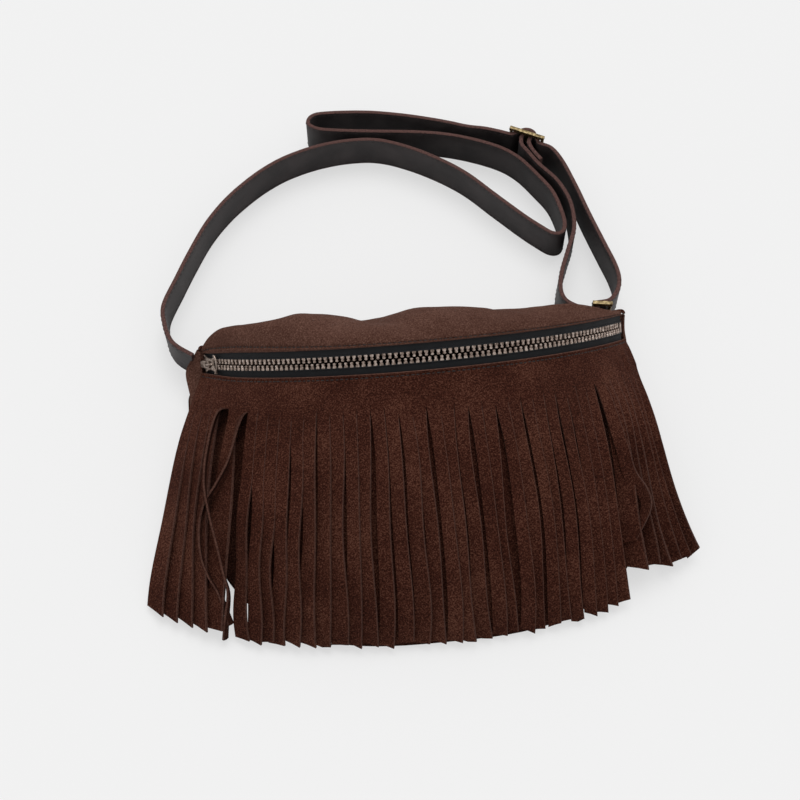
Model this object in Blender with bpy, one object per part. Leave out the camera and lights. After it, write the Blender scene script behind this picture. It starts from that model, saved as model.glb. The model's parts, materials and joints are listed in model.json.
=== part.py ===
"""Fringed suede hip bag, lying on its back with its strap standing on edge behind it.

Metres, +Z up, +X to the bag's right as seen in the photograph, +Y towards its top edge.
The table is Z = 0. The middle of the zip's arc is at X = 0.
"""

import math

import bmesh
import bpy
import numpy as np
from mathutils import Matrix, Vector

# Touching pieces keep this gap, because a packed solid may not overlap its neighbour
SEAT_GAP = 0.0003

# Zip: an arc in a plane that leans back, with its width along ZIP_ACROSS
ZIP_RADIUS = 0.186
ZIP_MID_Y = 0.0368
ZIP_MID_Z = 0.1012
ZIP_LEAN = math.radians(52.8)
# How far each end of the zip lies below its middle, along its own plane
ZIP_LEFT_DROP = 0.09868
ZIP_RIGHT_DROP = 0.0930
ZIP_MOUTH = 0.0196
TAPE_THICK = 0.0008
TAPE_COVERED = 0.0006
TAPE_SHORT = 0.0016
TOOTH_PITCH = 0.0043
TOOTH_LENGTH = 0.0024
TOOTH_REACH = 0.0040
TOOTH_THICK = 0.0030
TOOTH_CHANNEL = 0.0007
TOOTH_TAPER = 0.75
TOOTH_BEAD = 0.0009
TAPE_TO_TOOTH = 0.00025

# Zip slider, at the left end of the closed zip, and its pull
SLIDER_LENGTH = 0.0185
SLIDER_WIDTH = 0.0146
SLIDER_WAIST = 0.0090
SLIDER_PLATE = 0.0013
SLIDER_RUN_GAP = 0.0004
SLIDER_WEB = 0.00035
SLIDER_WEB_LENGTH = 0.0030
CROWN_SPAN = 0.0076
CROWN_WIDTH = 0.0024
CROWN_BAR = 0.0012
PULL_BAR_RADIUS = 0.0008
PULL_PLAY = 0.0004
PULL_LENGTH = 0.0120
PULL_ARM = 0.0011
PULL_THICK = 0.0014
PULL_HEEL = 0.0008
PULL_SHOULDER = 0.0090
STOP_LENGTH = 0.0032
STOP_THICK = 0.0024

# Suede body: the outline of the back, seen from above, in four quarter superellipses
BACK_PAST_ZIP_LEFT = 0.0158
BACK_PAST_ZIP_RIGHT = 0.0089
BACK_WIDEST_Y = 0.075
BACK_TOP_Y = 0.117
BACK_BOTTOM_Y = -0.128
BACK_BOTTOM_POWER = 2.4
BACK_TOP_POWER = 2.2
# Where the body's panels meet on that outline, as turns past its right or left extreme
FRONT_END_TURN = math.radians(-6.0)
TOP_END_TURN = math.radians(42.0)
BACK_THICK = 0.0020
BACK_SEAM = 0.0012
SUEDE = 0.0014
END_SWELL = 0.009
# An end panel's wall leans towards a point inside the bag, so that it never crosses itself at the zip
END_WALL_LEAN = 3.0
END_INSIDE_X = 0.044
END_INSIDE_Y = 0.010
END_INSIDE_Z = 0.012
TOP_END_HANDLE = 0.012
END_SET_OFF = 0.0026
TOP_FULLNESS = 0.018
TOP_SHOULDER = 0.075
TOP_FOLD = 0.0040
TOP_FOLD_PITCH = 0.56
TOP_BUMP = 0.0065
TOP_BUMP_AT = 0.80
TOP_PUFF = 0.0150
TOP_PUFF_AT = -0.85
TOP_PUFF_WIDTH = 0.42
FRONT_FULLNESS = 0.22
FRONT_TUCK = 0.0008
FRONT_CORNER_TUCK = 0.0045

# Fringe: one suede panel with a solid band under the zip, cut into strips
STRIPS = 42
FRINGE_THICK = 0.0015
FRINGE_BAND = 0.036
FRINGE_SLIT = 0.0005
FRINGE_SLIT_STAGGER = 0.007
STRIP_WIDTH = 0.0091
STRIP_UNEVEN = 0.0006
TIP_HALF_SPREAD = 0.1985
TIP_MID_Y = -0.1405
TIP_SIDE_RISE = 0.042
TIP_HEIGHT = 0.0030
TIP_LEFTWARD = 0.0050
TIP_SIDE_LEFTWARD = 0.0070
TIP_UNEVEN = 0.012
LEFT_BULGE = (0.010, 0.003)
RIGHT_BULGE = (0.001, -0.009)
SIDE_STRIPS = 8
SIDE_LIFT = 0.0028
LOOSE_LIFT = 0.0075
LOOSE_WIDTH = 0.0050
LOOSE_TWIST = math.radians(150.0)
STRIP_LEAN = 0.22

# The strips that came loose and twisted: number, sideways move of the tip in strip pitches
LOOSE_STRIPS = {7: -0.30, 8: -0.80, 33: 0.15}

# Strap: a flat leather band standing on edge
STRAP_WIDTH = 0.030
STRAP_THICK = 0.0034
STRAP_STATION = 0.0085

# Where the strap and the ring's tab are sewn to the end panels: share across, share down
STRAP_SEAM_AT = (0.925, 0.117)
TAB_SEAM_AT = (0.900, 0.517)

# Tri-glide buckle on the strap and rectangular ring on the bag
BUCKLE_X = 0.1165
BUCKLE_Y = 0.2895
BUCKLE_TURN = math.radians(-29.0)
BUCKLE_BAR = 0.0030
BUCKLE_PITCH = 0.0140
BUCKLE_CLEAR = 0.0010
RING_FROM_SEAM_X = -0.0092
RING_FROM_SEAM_Y = 0.0119
RING_TURN = math.radians(-10.0)
RING_PITCH = 0.0125
RING_BAR = 0.0030
TAB_TURN = math.radians(-78.0)
TAB_REACH_LOW = 0.0122
TAB_REACH_HIGH = 0.0106
TAB_HEIGHT = 0.0185

ZIP_OUT = Vector((0.0, -math.cos(ZIP_LEAN), math.sin(ZIP_LEAN)))
ZIP_ACROSS = Vector((0.0, math.sin(ZIP_LEAN), math.cos(ZIP_LEAN)))
ZIP_CENTRE = Vector((0.0, ZIP_MID_Y, ZIP_MID_Z)) - ZIP_RADIUS * ZIP_OUT
MOUTH_HALF = ZIP_MOUTH / 2
TAPE_OUTER = MOUTH_HALF + TAPE_COVERED
TAPE_INNER = TOOTH_REACH + TAPE_TO_TOOTH
PANEL_FOOT = TAPE_THICK / 2 + SEAT_GAP
RIM_Z = BACK_THICK + SEAT_GAP
PLATE_IN = TOOTH_THICK / 2 + SLIDER_RUN_GAP
PLATE_OUT = PLATE_IN + SLIDER_PLATE
PULL_AXIS_OUT = PLATE_OUT + PULL_PLAY + PULL_BAR_RADIUS
ZIP_LEFT_END = -math.acos(1.0 - ZIP_LEFT_DROP / ZIP_RADIUS)
ZIP_RIGHT_END = math.acos(1.0 - ZIP_RIGHT_DROP / ZIP_RADIUS)
BACK_LEFT = -ZIP_RADIUS * math.sin(ZIP_LEFT_END) + BACK_PAST_ZIP_LEFT
BACK_RIGHT = ZIP_RADIUS * math.sin(ZIP_RIGHT_END) + BACK_PAST_ZIP_RIGHT
SLIDER_ANGLE = ZIP_LEFT_END + (SLIDER_LENGTH / 2 + STOP_LENGTH + 0.0016) / ZIP_RADIUS
STRAP_BASE = BUCKLE_BAR + BUCKLE_CLEAR


def clear_scene():
    for obj in list(bpy.data.objects):
        bpy.data.objects.remove(obj, do_unlink=True)


def material(name, colour, roughness, metallic=0.0):
    """A Principled material; colour is linear RGB."""
    mat = bpy.data.materials.new(name)
    mat.use_nodes = True
    shader = mat.node_tree.nodes["Principled BSDF"]
    shader.inputs["Base Color"].default_value = (*colour, 1.0)
    shader.inputs["Roughness"].default_value = roughness
    shader.inputs["Metallic"].default_value = metallic
    mat.diffuse_color = (*colour, 1.0)
    return mat


def add_object(name, bm, mat, origin=None):
    """Put a bmesh in the scene as one named object with its normals facing out."""
    bmesh.ops.remove_doubles(bm, verts=bm.verts, dist=1e-7)
    bmesh.ops.recalc_face_normals(bm, faces=bm.faces)
    mesh = bpy.data.meshes.new(name)
    if origin is not None:
        bmesh.ops.translate(bm, verts=bm.verts, vec=-Vector(origin))
    bm.to_mesh(mesh)
    bm.free()
    obj = bpy.data.objects.new(name, mesh)
    if origin is not None:
        obj.location = origin
    obj.data.materials.append(mat)
    bpy.context.collection.objects.link(obj)
    return obj


def smooth(value):
    value = min(1.0, max(0.0, value))
    return value * value * (3.0 - 2.0 * value)


def mix(low, high, share):
    return low + (high - low) * share


def wobble(number, salt):
    """A repeatable value between -1 and 1 for strip number, so that no two strips match."""
    turn = math.sin(number * 12.9898 + salt * 78.233) * 43758.5453
    return 2.0 * (turn - math.floor(turn)) - 1.0


def bezier(points, share):
    """Point of a cubic Bezier curve at a share from 0 to 1."""
    rest = 1.0 - share
    weights = (rest**3, 3 * rest**2 * share, 3 * rest * share**2, share**3)
    return sum((w * p for w, p in zip(weights, points)), Vector((0.0, 0.0, 0.0)))


def zip_point(angle, across=0.0, out=0.0):
    """Point of the zip: angle round its arc, distance across its width and outward."""
    spoke = math.sin(angle) * Vector((1.0, 0.0, 0.0)) + math.cos(angle) * ZIP_OUT
    return ZIP_CENTRE + (ZIP_RADIUS + out) * spoke + across * ZIP_ACROSS


def zip_angle(share):
    """Angle at a share from -1, the zip's left end, to 1, its right end."""
    return mix(ZIP_LEFT_END, ZIP_RIGHT_END, (share + 1.0) / 2.0)


def outline_point(turn):
    """Back outline in plan: turn is 0 at the right, a quarter turn at the top edge."""
    c = math.cos(turn)
    s = math.sin(turn)
    half = BACK_RIGHT if c > 0 else BACK_LEFT
    rise = BACK_TOP_Y - BACK_WIDEST_Y if s > 0 else BACK_WIDEST_Y - BACK_BOTTOM_Y
    power = BACK_TOP_POWER if s > 0 else BACK_BOTTOM_POWER
    x = half * math.copysign(abs(c) ** (2.0 / power), c)
    y = BACK_WIDEST_Y + rise * math.copysign(abs(s) ** (2.0 / power), s)
    return x, y


def front_foot(share):
    turn = mix(-math.pi - FRONT_END_TURN, FRONT_END_TURN, (share + 1.0) / 2.0)
    x, y = outline_point(turn)
    return Vector((x, y, RIM_Z))


def top_foot(share):
    turn = mix(math.pi - TOP_END_TURN, TOP_END_TURN, (share + 1.0) / 2.0)
    x, y = outline_point(turn)
    return Vector((x, y, RIM_Z))


def end_foot(side, share):
    turn = mix(FRONT_END_TURN, TOP_END_TURN, share)
    x, y = outline_point(turn if side > 0 else math.pi - turn)
    return Vector((x, y, RIM_Z))


def tip_point(share):
    """Where the fringe's tips end, before each strip's own small change."""
    spread = 1.1
    x = TIP_HALF_SPREAD * math.sin(share * spread) / math.sin(spread)
    x -= TIP_LEFTWARD + TIP_SIDE_LEFTWARD * share * share
    return Vector((x, TIP_MID_Y + TIP_SIDE_RISE * share * share, TIP_HEIGHT))


def fringe_curve(share):
    """Control points of the fringe from the zip down to its tips."""
    start = zip_point(zip_angle(share), -MOUTH_HALF, PANEL_FOOT + SUEDE + SEAT_GAP)
    tip = tip_point(share)
    side = abs(share) ** 4
    rise = start.z - tip.z
    bulge = LEFT_BULGE if share < 0 else RIGHT_BULGE
    outward = Vector((math.copysign(side, share), 0.0, 0.0))
    first = mix(start, tip, 0.33) + outward * bulge[0]
    first.z = start.z - FRONT_FULLNESS * rise + 0.012 * side
    second = mix(start, tip, 0.83) + outward * bulge[1]
    second.z = tip.z + 0.60 * rise + 0.008 * side
    return start, first, second, tip


def fringe_point(share, down):
    return bezier(fringe_curve(share), down)


def front_curve(share):
    """Control points of the front panel's outer face, from the zip to the back's outline."""
    start = zip_point(zip_angle(share), -MOUTH_HALF - BACK_SEAM, PANEL_FOOT + SUEDE)
    foot = front_foot(share)
    _, first, second, tip = fringe_curve(share)
    middle = 1.0 - abs(share) ** 4
    near = mix(start, foot, 0.33)
    near.z = start.z - FRONT_FULLNESS * (start.z - foot.z)
    far = foot + (second - tip) * mix(0.7, 1.0, middle)
    return start, mix(near, first, 0.7 * middle), mix(far, second, 0.6 * middle), foot


def front_point(share, down):
    """Outer face of the front panel, tucked in a little under the fringe."""
    corner = math.exp(-(((abs(share) - 0.68) / 0.16) ** 2))
    tuck = (FRONT_TUCK + FRONT_CORNER_TUCK * corner * smooth(down * 2.5)) * smooth(down * 6.0)
    tuck *= (1.0 - smooth((down - 0.65) / 0.35)) * smooth((1.0 - abs(share)) * 8.0)
    inward = Vector((0.15 * math.copysign(corner, -share), 0.35, -0.93))
    return bezier(front_curve(share), down) + inward * tuck


def top_curve(share):
    """Control points of the top panel's outer face, from the zip over to the back's outline."""
    start = zip_point(zip_angle(share), MOUTH_HALF, PANEL_FOOT + SUEDE)
    foot = top_foot(share)
    at_end = Vector((math.copysign(0.4, share), 0.85, 0.25)) * TOP_END_HANDLE
    first = start + mix(ZIP_ACROSS * TOP_FULLNESS * mix(1.0, 0.5, share**4), at_end, share**24)
    second = foot + Vector((0.0, -0.006, TOP_SHOULDER * (start.z - foot.z) / 0.105))
    return start, first, second, foot


def top_point(share, down):
    """Outer face of the top panel: soft folds, the bump over the ring and the full left end."""
    wave = math.cos(2.0 * math.pi * (share + 0.43 - 0.25 * (down - 0.6)) / TOP_FOLD_PITCH)
    depth = TOP_FOLD * mix(1.0, 0.35, smooth(share + 0.5)) * math.sin(math.pi * down) ** 2
    fold = depth * wave * (1.0 - share**4)
    bump = TOP_BUMP * math.exp(-(((share - TOP_BUMP_AT) / 0.15) ** 2)) * math.sin(math.pi * down) ** 2
    puff = TOP_PUFF * math.exp(-(((share - TOP_PUFF_AT) / TOP_PUFF_WIDTH) ** 2)) * (1.0 - share**24)
    raised = fold + puff * math.sin(math.pi * down**0.75)
    return bezier(top_curve(share), down) + Vector((0.0, 0.6, 0.8)) * raised + Vector((0.0, 0.3, 0.95)) * bump


def end_point(side, share, down):
    """Outer face of an end panel: share runs from the front panel's edge to the top panel's."""
    foot = end_foot(side, share)
    points = [mix(a, b, share) for a, b in zip(front_curve(side), top_curve(side))]
    past = Vector((side * END_SET_OFF, 0.0, 0.0))
    inner = math.sin(math.pi * share)
    drop = 0.15 * (points[0].z - foot.z)
    own = points[0] + Vector((side * END_SWELL, 0.0, -drop))
    first = mix(points[1], own, math.sqrt(inner)) + past
    above = Vector((foot.x, foot.y, points[2].z))
    second = mix(points[2], above, inner)
    return bezier((points[0] + past, first, second, foot), down)


def surface_normal(func, u, v, flip):
    """Outward normal of a surface by differences; flip is -1 where the sense is reversed."""
    step = 1e-4
    low_u = max(u - step, -1.0)
    high_u = min(u + step, 1.0)
    du = func(high_u, v) - func(low_u, v)
    dv = func(u, min(v + step, 1.0)) - func(u, max(v - step, 0.0))
    return (du.cross(dv) * flip).normalized()


def close_grid(bm, outer, inner):
    """Join two grids of points, face to face, into one closed solid."""
    rows = len(outer)
    cols = len(outer[0])
    top = [[bm.verts.new(p) for p in row] for row in outer]
    low = [[bm.verts.new(p) for p in row] for row in inner]
    for i in range(rows - 1):
        for j in range(cols - 1):
            bm.faces.new((top[i][j], top[i][j + 1], top[i + 1][j + 1], top[i + 1][j]))
            bm.faces.new((low[i][j], low[i + 1][j], low[i + 1][j + 1], low[i][j + 1]))
    for j in range(cols - 1):
        bm.faces.new((top[0][j], low[0][j], low[0][j + 1], top[0][j + 1]))
        bm.faces.new((top[-1][j], top[-1][j + 1], low[-1][j + 1], low[-1][j]))
    for i in range(rows - 1):
        bm.faces.new((top[i][0], top[i + 1][0], low[i + 1][0], low[i][0]))
        bm.faces.new((top[i][-1], low[i][-1], low[i + 1][-1], top[i + 1][-1]))


def comb(bm, columns, band_rows):
    """A cut piece from pairs of columns of (upper, lower) points; only the band joins the pairs."""
    top = [[bm.verts.new(pair[0]) for pair in column] for column in columns]
    low = [[bm.verts.new(pair[1]) for pair in column] for column in columns]
    last = len(columns[0]) - 1
    for c in range(len(columns) - 1):
        rows = last if c % 2 == 0 else band_rows
        for r in range(rows):
            bm.faces.new((top[c][r], top[c + 1][r], top[c + 1][r + 1], top[c][r + 1]))
            bm.faces.new((low[c][r], low[c][r + 1], low[c + 1][r + 1], low[c + 1][r]))
        bm.faces.new((top[c][0], low[c][0], low[c + 1][0], top[c + 1][0]))
        bm.faces.new((top[c][rows], top[c + 1][rows], low[c + 1][rows], low[c][rows]))
    for c in range(len(columns)):
        first = 0 if c in (0, len(columns) - 1) else band_rows
        for r in range(first, last):
            bm.faces.new((top[c][r], top[c][r + 1], low[c][r + 1], low[c][r]))


def panel(name, func, shares, downs, thick, mat, flip, inside=None):
    """A suede panel: an outer face from func and an inner face one thickness in.

    A panel with an inside point has walls that lean towards it; the others start flat on the zip.
    """
    outer = []
    inner = []
    for down in downs:
        outer_row = []
        inner_row = []
        for share in shares:
            point = func(share, down)
            normal = surface_normal(func, share, down, flip)
            if inside:
                normal = (normal + END_WALL_LEAN * (point - inside).normalized()).normalized()
            if down > 0.999:
                normal = Vector((normal.x, normal.y, 0.0)).normalized()
            if not inside and down < 0.03:
                normal = zip_point(zip_angle(share), 0.0, 1.0) - zip_point(zip_angle(share))
            outer_row.append(point)
            inner_row.append(point - normal * thick)
        outer.append(outer_row)
        inner.append(inner_row)
    bm = bmesh.new()
    close_grid(bm, outer, inner)
    return add_object(name, bm, mat)


def spaced(low, high, count):
    return [mix(low, high, i / count) for i in range(count + 1)]


def back_panel(mat):
    """Flat suede back, one seam wider than the rim of the other panels."""
    bm = bmesh.new()
    loop = []
    for i in range(72):
        x, y = outline_point(2.0 * math.pi * i / 72)
        middle = Vector((0.0, (BACK_TOP_Y + BACK_BOTTOM_Y) / 2, 0.0))
        flat = Vector((x, y, 0.0))
        loop.append(bm.verts.new(flat + (flat - middle).normalized() * BACK_SEAM))
    face = bm.faces.new(loop)
    grown = bmesh.ops.extrude_face_region(bm, geom=[face])
    lifted = [g for g in grown["geom"] if isinstance(g, bmesh.types.BMVert)]
    bmesh.ops.translate(bm, verts=lifted, vec=(0.0, 0.0, BACK_THICK))
    return add_object("back_panel", bm, mat)


def strip_half_width(number, down_share):
    """Half of a strip's width; the three loose strips narrow as they curl up."""
    if number in LOOSE_STRIPS:
        return mix(STRIP_WIDTH, LOOSE_WIDTH, smooth(down_share * 4.0)) / 2
    return STRIP_WIDTH / 2


def strip_lift(number, down_share):
    """How far a strip stands off the surface below the band."""
    if number in LOOSE_STRIPS:
        return LOOSE_LIFT * smooth(down_share * 3.0)
    in_side = number < SIDE_STRIPS or number >= STRIPS - SIDE_STRIPS
    if in_side and number % 2:
        return SIDE_LIFT * smooth(down_share * 3.0)
    return STRIP_UNEVEN * (1.0 + wobble(number, 3)) * smooth(down_share * 2.0)


def strip_station(number, down_share, edge, slit_down):
    """Point on one edge (-1 or 1) of a strip's middle face, and the face's normal there."""
    pitch = 2.0 / STRIPS
    middle = -1.0 + pitch * (number + 0.5)
    lean = STRIP_LEAN * wobble(number, 1) + LOOSE_STRIPS.get(number, 0.0)
    share = middle + pitch * lean * smooth(down_share)
    last = 1.0 - TIP_UNEVEN * (1.0 + wobble(number, 2))
    down = mix(slit_down, last, down_share)
    step = pitch / 4
    low = fringe_point(share - step, down)
    high = fringe_point(share + step, down)
    sideways = (high - low).normalized()
    normal = surface_normal(fringe_point, min(0.999, max(-0.999, share)), down, -1.0)
    twist = 0.0
    if number in LOOSE_STRIPS:
        twist = LOOSE_TWIST * smooth((down_share - 0.25) * 1.4)
    across = math.cos(twist) * sideways + math.sin(twist) * normal
    facing = math.cos(twist) * normal - math.sin(twist) * sideways
    lifted = normal * (FRINGE_THICK / 2 + strip_lift(number, down_share))
    point = fringe_point(share, down) + lifted
    full = across * strip_half_width(number, down_share)
    if down_share <= 0.0:
        full = sideways * ((high - low).length - FRINGE_SLIT / 2)
    return point + full * edge, facing


def fringe_panel(mat):
    """Band and strips as one cut piece: two columns of points for each strip."""
    band_rows = 2
    strip_rows = 10
    columns = []
    for number in range(STRIPS):
        for edge in (-1, 1):
            boundary = number + (1 if edge > 0 else 0)
            slit = FRINGE_BAND + FRINGE_SLIT_STAGGER * wobble(boundary, 4)
            slit_down = slit / fringe_length(-1.0 + 2.0 * boundary / STRIPS)
            columns.append(fringe_column(number, edge, slit_down, band_rows, strip_rows))
    solid = []
    for column in columns:
        solid.append([(p + n * FRINGE_THICK / 2, p - n * FRINGE_THICK / 2) for p, n in column])
    bm = bmesh.new()
    comb(bm, solid, band_rows)
    return add_object("fringe_panel", bm, mat)


def fringe_length(share):
    points = [fringe_point(max(-1.0, min(1.0, share)), i / 20) for i in range(21)]
    return sum((b - a).length for a, b in zip(points, points[1:]))


def fringe_column(number, edge, slit_down, band_rows, strip_rows):
    """One edge of a strip from the zip to its tip, as (middle point, normal) pairs."""
    pitch = 2.0 / STRIPS
    share = -1.0 + pitch * (number + (1 if edge > 0 else 0))
    slit = edge * FRINGE_SLIT / 2 if abs(share) < 0.999 else 0.0
    column = []
    for row in range(band_rows):
        down = slit_down * row / band_rows
        normal = surface_normal(fringe_point, share, down, -1.0)
        sideways = surface_side(share, down)
        column.append((fringe_point(share, down) + normal * FRINGE_THICK / 2 - sideways * slit, normal))
    for row in range(strip_rows + 1):
        column.append(strip_station(number, row / strip_rows, edge, slit_down))
    return column


def surface_side(share, down):
    low = fringe_point(max(-1.0, share - 0.01), down)
    high = fringe_point(min(1.0, share + 0.01), down)
    return (high - low).normalized()


def zip_strip(name, low, high, inner, outer, mat):
    """A band that follows the zip's arc between two distances across it."""
    steps = 44
    short = TAPE_SHORT / ZIP_RADIUS
    angles = spaced(ZIP_LEFT_END + short, ZIP_RIGHT_END - short, steps)
    rim_a = []
    rim_b = []
    for angle in angles:
        rim_a.append([zip_point(angle, low, outer), zip_point(angle, high, outer)])
        rim_b.append([zip_point(angle, low, inner), zip_point(angle, high, inner)])
    bm = bmesh.new()
    close_grid(bm, rim_a, rim_b)
    return add_object(name, bm, mat)


def add_block(bm, corners):
    """A six-faced solid from eight corners: four below, then four above in the same order."""
    v = [bm.verts.new(p) for p in corners]
    for a, b, c, d in ((3, 2, 1, 0), (4, 5, 6, 7), (0, 1, 5, 4), (1, 2, 6, 5), (2, 3, 7, 6), (3, 0, 4, 7)):
        bm.faces.new((v[a], v[b], v[c], v[d]))


def zip_block(bm, angle, length, low, high, inner, outer):
    """A block on the zip, between two distances across it and two outward."""
    half = length / 2 / ZIP_RADIUS
    corners = []
    for out in (inner, outer):
        corners.append(zip_point(angle - half, low, out))
        corners.append(zip_point(angle + half, low, out))
        corners.append(zip_point(angle + half, high, out))
        corners.append(zip_point(angle - half, high, out))
    add_block(bm, corners)


def teeth(name, side, mat):
    """One side's teeth on the bead of its tape, from under the slider to the right stop."""
    start = SLIDER_ANGLE + (SLIDER_WEB_LENGTH + TOOTH_LENGTH - SLIDER_LENGTH / 2) / ZIP_RADIUS
    end = ZIP_RIGHT_END - (STOP_LENGTH + TOOTH_LENGTH) / ZIP_RADIUS
    pitch = TOOTH_PITCH / ZIP_RADIUS
    half = TOOTH_LENGTH / 2 / ZIP_RADIUS
    levels = ((TOOTH_REACH, 1.0), (TOOTH_REACH - TOOTH_BEAD, 1.0), (TOOTH_CHANNEL / 2, TOOTH_TAPER))
    columns = []
    angle = start + (pitch / 2 if side > 0 else 0.0)
    while angle < end:
        for edge in (-half, half):
            column = []
            for across, taper in levels:
                upper = zip_point(angle + edge * taper, side * across, TOOTH_THICK / 2)
                lower = zip_point(angle + edge * taper, side * across, -TOOTH_THICK / 2)
                column.append((upper, lower))
            columns.append(column)
        angle += pitch
    bm = bmesh.new()
    comb(bm, columns, 1)
    return add_object(name, bm, mat)


def zip_stop(name, angle, low, high, mat):
    """A metal stop that ends the zip, between two distances across it."""
    bm = bmesh.new()
    zip_block(bm, angle, STOP_LENGTH * 0.8, low, high, -STOP_THICK / 2, STOP_THICK / 2)
    return add_object(name, bm, mat)


def zip_frame(angle):
    """Matrix with X along the zip, Y across it and Z outward, at an angle on its arc."""
    along = math.cos(angle) * Vector((1.0, 0.0, 0.0)) - math.sin(angle) * ZIP_OUT
    out = math.sin(angle) * Vector((1.0, 0.0, 0.0)) + math.cos(angle) * ZIP_OUT
    turn = Matrix((along, ZIP_ACROSS, out)).transposed().to_4x4()
    return Matrix.Translation(zip_point(angle)) @ turn


def bow_tie(length, width, waist):
    """Outline of a slider plate with hollow sides."""
    steps = 7
    points = []
    for side in (1, -1):
        for i in range(steps + 1):
            x = side * mix(length / 2, -length / 2, i / steps)
            y = mix(waist, width, abs(2.0 * i / steps - 1.0) ** 2) / 2
            points.append((x, side * y))
    return points


def add_prism(bm, outline, low, high):
    """A prism on an outline in the XY plane between two heights."""
    base = [bm.verts.new((x, y, low)) for x, y in outline]
    cap = [bm.verts.new((x, y, high)) for x, y in outline]
    bm.faces.new(list(reversed(base)))
    bm.faces.new(cap)
    for i in range(len(outline)):
        j = (i + 1) % len(outline)
        bm.faces.new((base[i], base[j], cap[j], cap[i]))


def add_box(bm, x0, x1, y0, y1, z0, z1):
    add_prism(bm, [(x0, y0), (x1, y0), (x1, y1), (x0, y1)], z0, z1)


def joined(name, pieces, mat, origin=None):
    """Union of overlapping bmeshes, made with Boolean modifiers and applied."""
    base = add_object(name, pieces[0], mat)
    helpers = []
    for i, piece in enumerate(pieces[1:]):
        helper = add_object(f"{name}_cut_{i}", piece, mat)
        modifier = base.modifiers.new(f"join_{i}", "BOOLEAN")
        modifier.operation = "UNION"
        modifier.solver = "EXACT"
        modifier.object = helper
        helpers.append(helper)
    graph = bpy.context.evaluated_depsgraph_get()
    bm = bmesh.new()
    bm.from_mesh(base.evaluated_get(graph).to_mesh())
    for obj in [base, *helpers]:
        bpy.data.objects.remove(obj, do_unlink=True)
    return add_object(name, bm, mat, origin)


def zip_slider(mat):
    """Two bow-tie plates round the chain, joined by a thin web, with a crown for the pull."""
    outline = bow_tie(SLIDER_LENGTH, SLIDER_WIDTH, SLIDER_WAIST)
    top = bmesh.new()
    add_prism(top, outline, PLATE_IN, PLATE_OUT)
    low = bmesh.new()
    add_prism(low, outline, -PLATE_OUT, -PLATE_IN)
    web = bmesh.new()
    web_end = -SLIDER_LENGTH / 2 + SLIDER_WEB_LENGTH
    bite = SLIDER_PLATE / 2
    half = SLIDER_WEB / 2
    add_box(web, -SLIDER_LENGTH / 2 + 0.0002, web_end, -half, half, -PLATE_IN - bite, PLATE_IN + bite)
    crown = bmesh.new()
    inside = PULL_AXIS_OUT + PULL_BAR_RADIUS + PULL_PLAY
    add_crown(crown, inside)
    obj = joined("zip_slider", [top, low, web, crown], mat)
    obj.data.transform(zip_frame(SLIDER_ANGLE))
    return obj


def add_crown(bm, inside):
    """The arch over the pull's bar, as an extruded outline across the slider."""
    half = CROWN_SPAN / 2
    thin = CROWN_BAR
    foot = PLATE_OUT - SLIDER_PLATE / 2
    profile = [(-half, foot), (-half, inside), (-half + thin, inside + thin)]
    profile += [(half - thin, inside + thin), (half, inside), (half, foot)]
    profile += [(half - thin, foot), (half - thin, inside), (-half + thin, inside), (-half + thin, foot)]
    sides = []
    for y in (-CROWN_WIDTH / 2, CROWN_WIDTH / 2):
        sides.append([bm.verts.new((x, y, z)) for x, z in profile])
    bm.faces.new(list(reversed(sides[0])))
    bm.faces.new(sides[1])
    for i in range(len(profile)):
        j = (i + 1) % len(profile)
        bm.faces.new((sides[0][i], sides[0][j], sides[1][j], sides[1][i]))


def zip_pull(mat):
    """Short pull lying to the left: a round bar under the crown, two arms and a tab."""
    gap = CROWN_WIDTH / 2 + PULL_PLAY
    wide = gap + PULL_ARM
    bar = bmesh.new()
    circle = bmesh.ops.create_cone(
        bar,
        cap_ends=True,
        segments=12,
        radius1=PULL_BAR_RADIUS,
        radius2=PULL_BAR_RADIUS,
        depth=2 * wide - PULL_ARM,
    )
    bmesh.ops.rotate(bar, verts=circle["verts"], matrix=Matrix.Rotation(math.pi / 2, 3, "X"))
    thick = PULL_THICK / 2
    reach = CROWN_SPAN / 2 + PULL_PLAY + 0.0006
    frame = bmesh.new()
    outline = [(PULL_HEEL, wide), (-PULL_SHOULDER, wide), (-PULL_LENGTH, wide * 0.75)]
    outline += [(-PULL_LENGTH, -wide * 0.75), (-PULL_SHOULDER, -wide), (PULL_HEEL, -wide)]
    outline += [(PULL_HEEL, -gap), (-reach, -gap), (-reach, gap), (PULL_HEEL, gap)]
    add_prism(frame, outline, -thick, thick)
    obj = joined("zip_pull", [frame, bar], mat)
    pivot = Vector((0.0, 0.0, PULL_AXIS_OUT))
    place = zip_frame(SLIDER_ANGLE)
    obj.data.transform(place.to_3x3().to_4x4())
    obj.location = place @ pivot
    return obj


def catmull(points, step):
    """A smooth route through the points with stations a set distance apart."""
    fine = []
    count = len(points)
    for i in range(count - 1):
        p0 = np.array(points[max(i - 1, 0)])
        p1 = np.array(points[i])
        p2 = np.array(points[i + 1])
        p3 = np.array(points[min(i + 2, count - 1)])
        for k in range(12):
            t = k / 12
            fine.append(
                0.5 * (2 * p1 + (p2 - p0) * t + (2 * p0 - 5 * p1 + 4 * p2 - p3) * t**2
                       + (3 * p1 - p0 - 3 * p2 + p3) * t**3)
            )
    fine.append(np.array(points[-1]))
    fine = np.array(fine)
    return thinned(fine, step)


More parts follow.
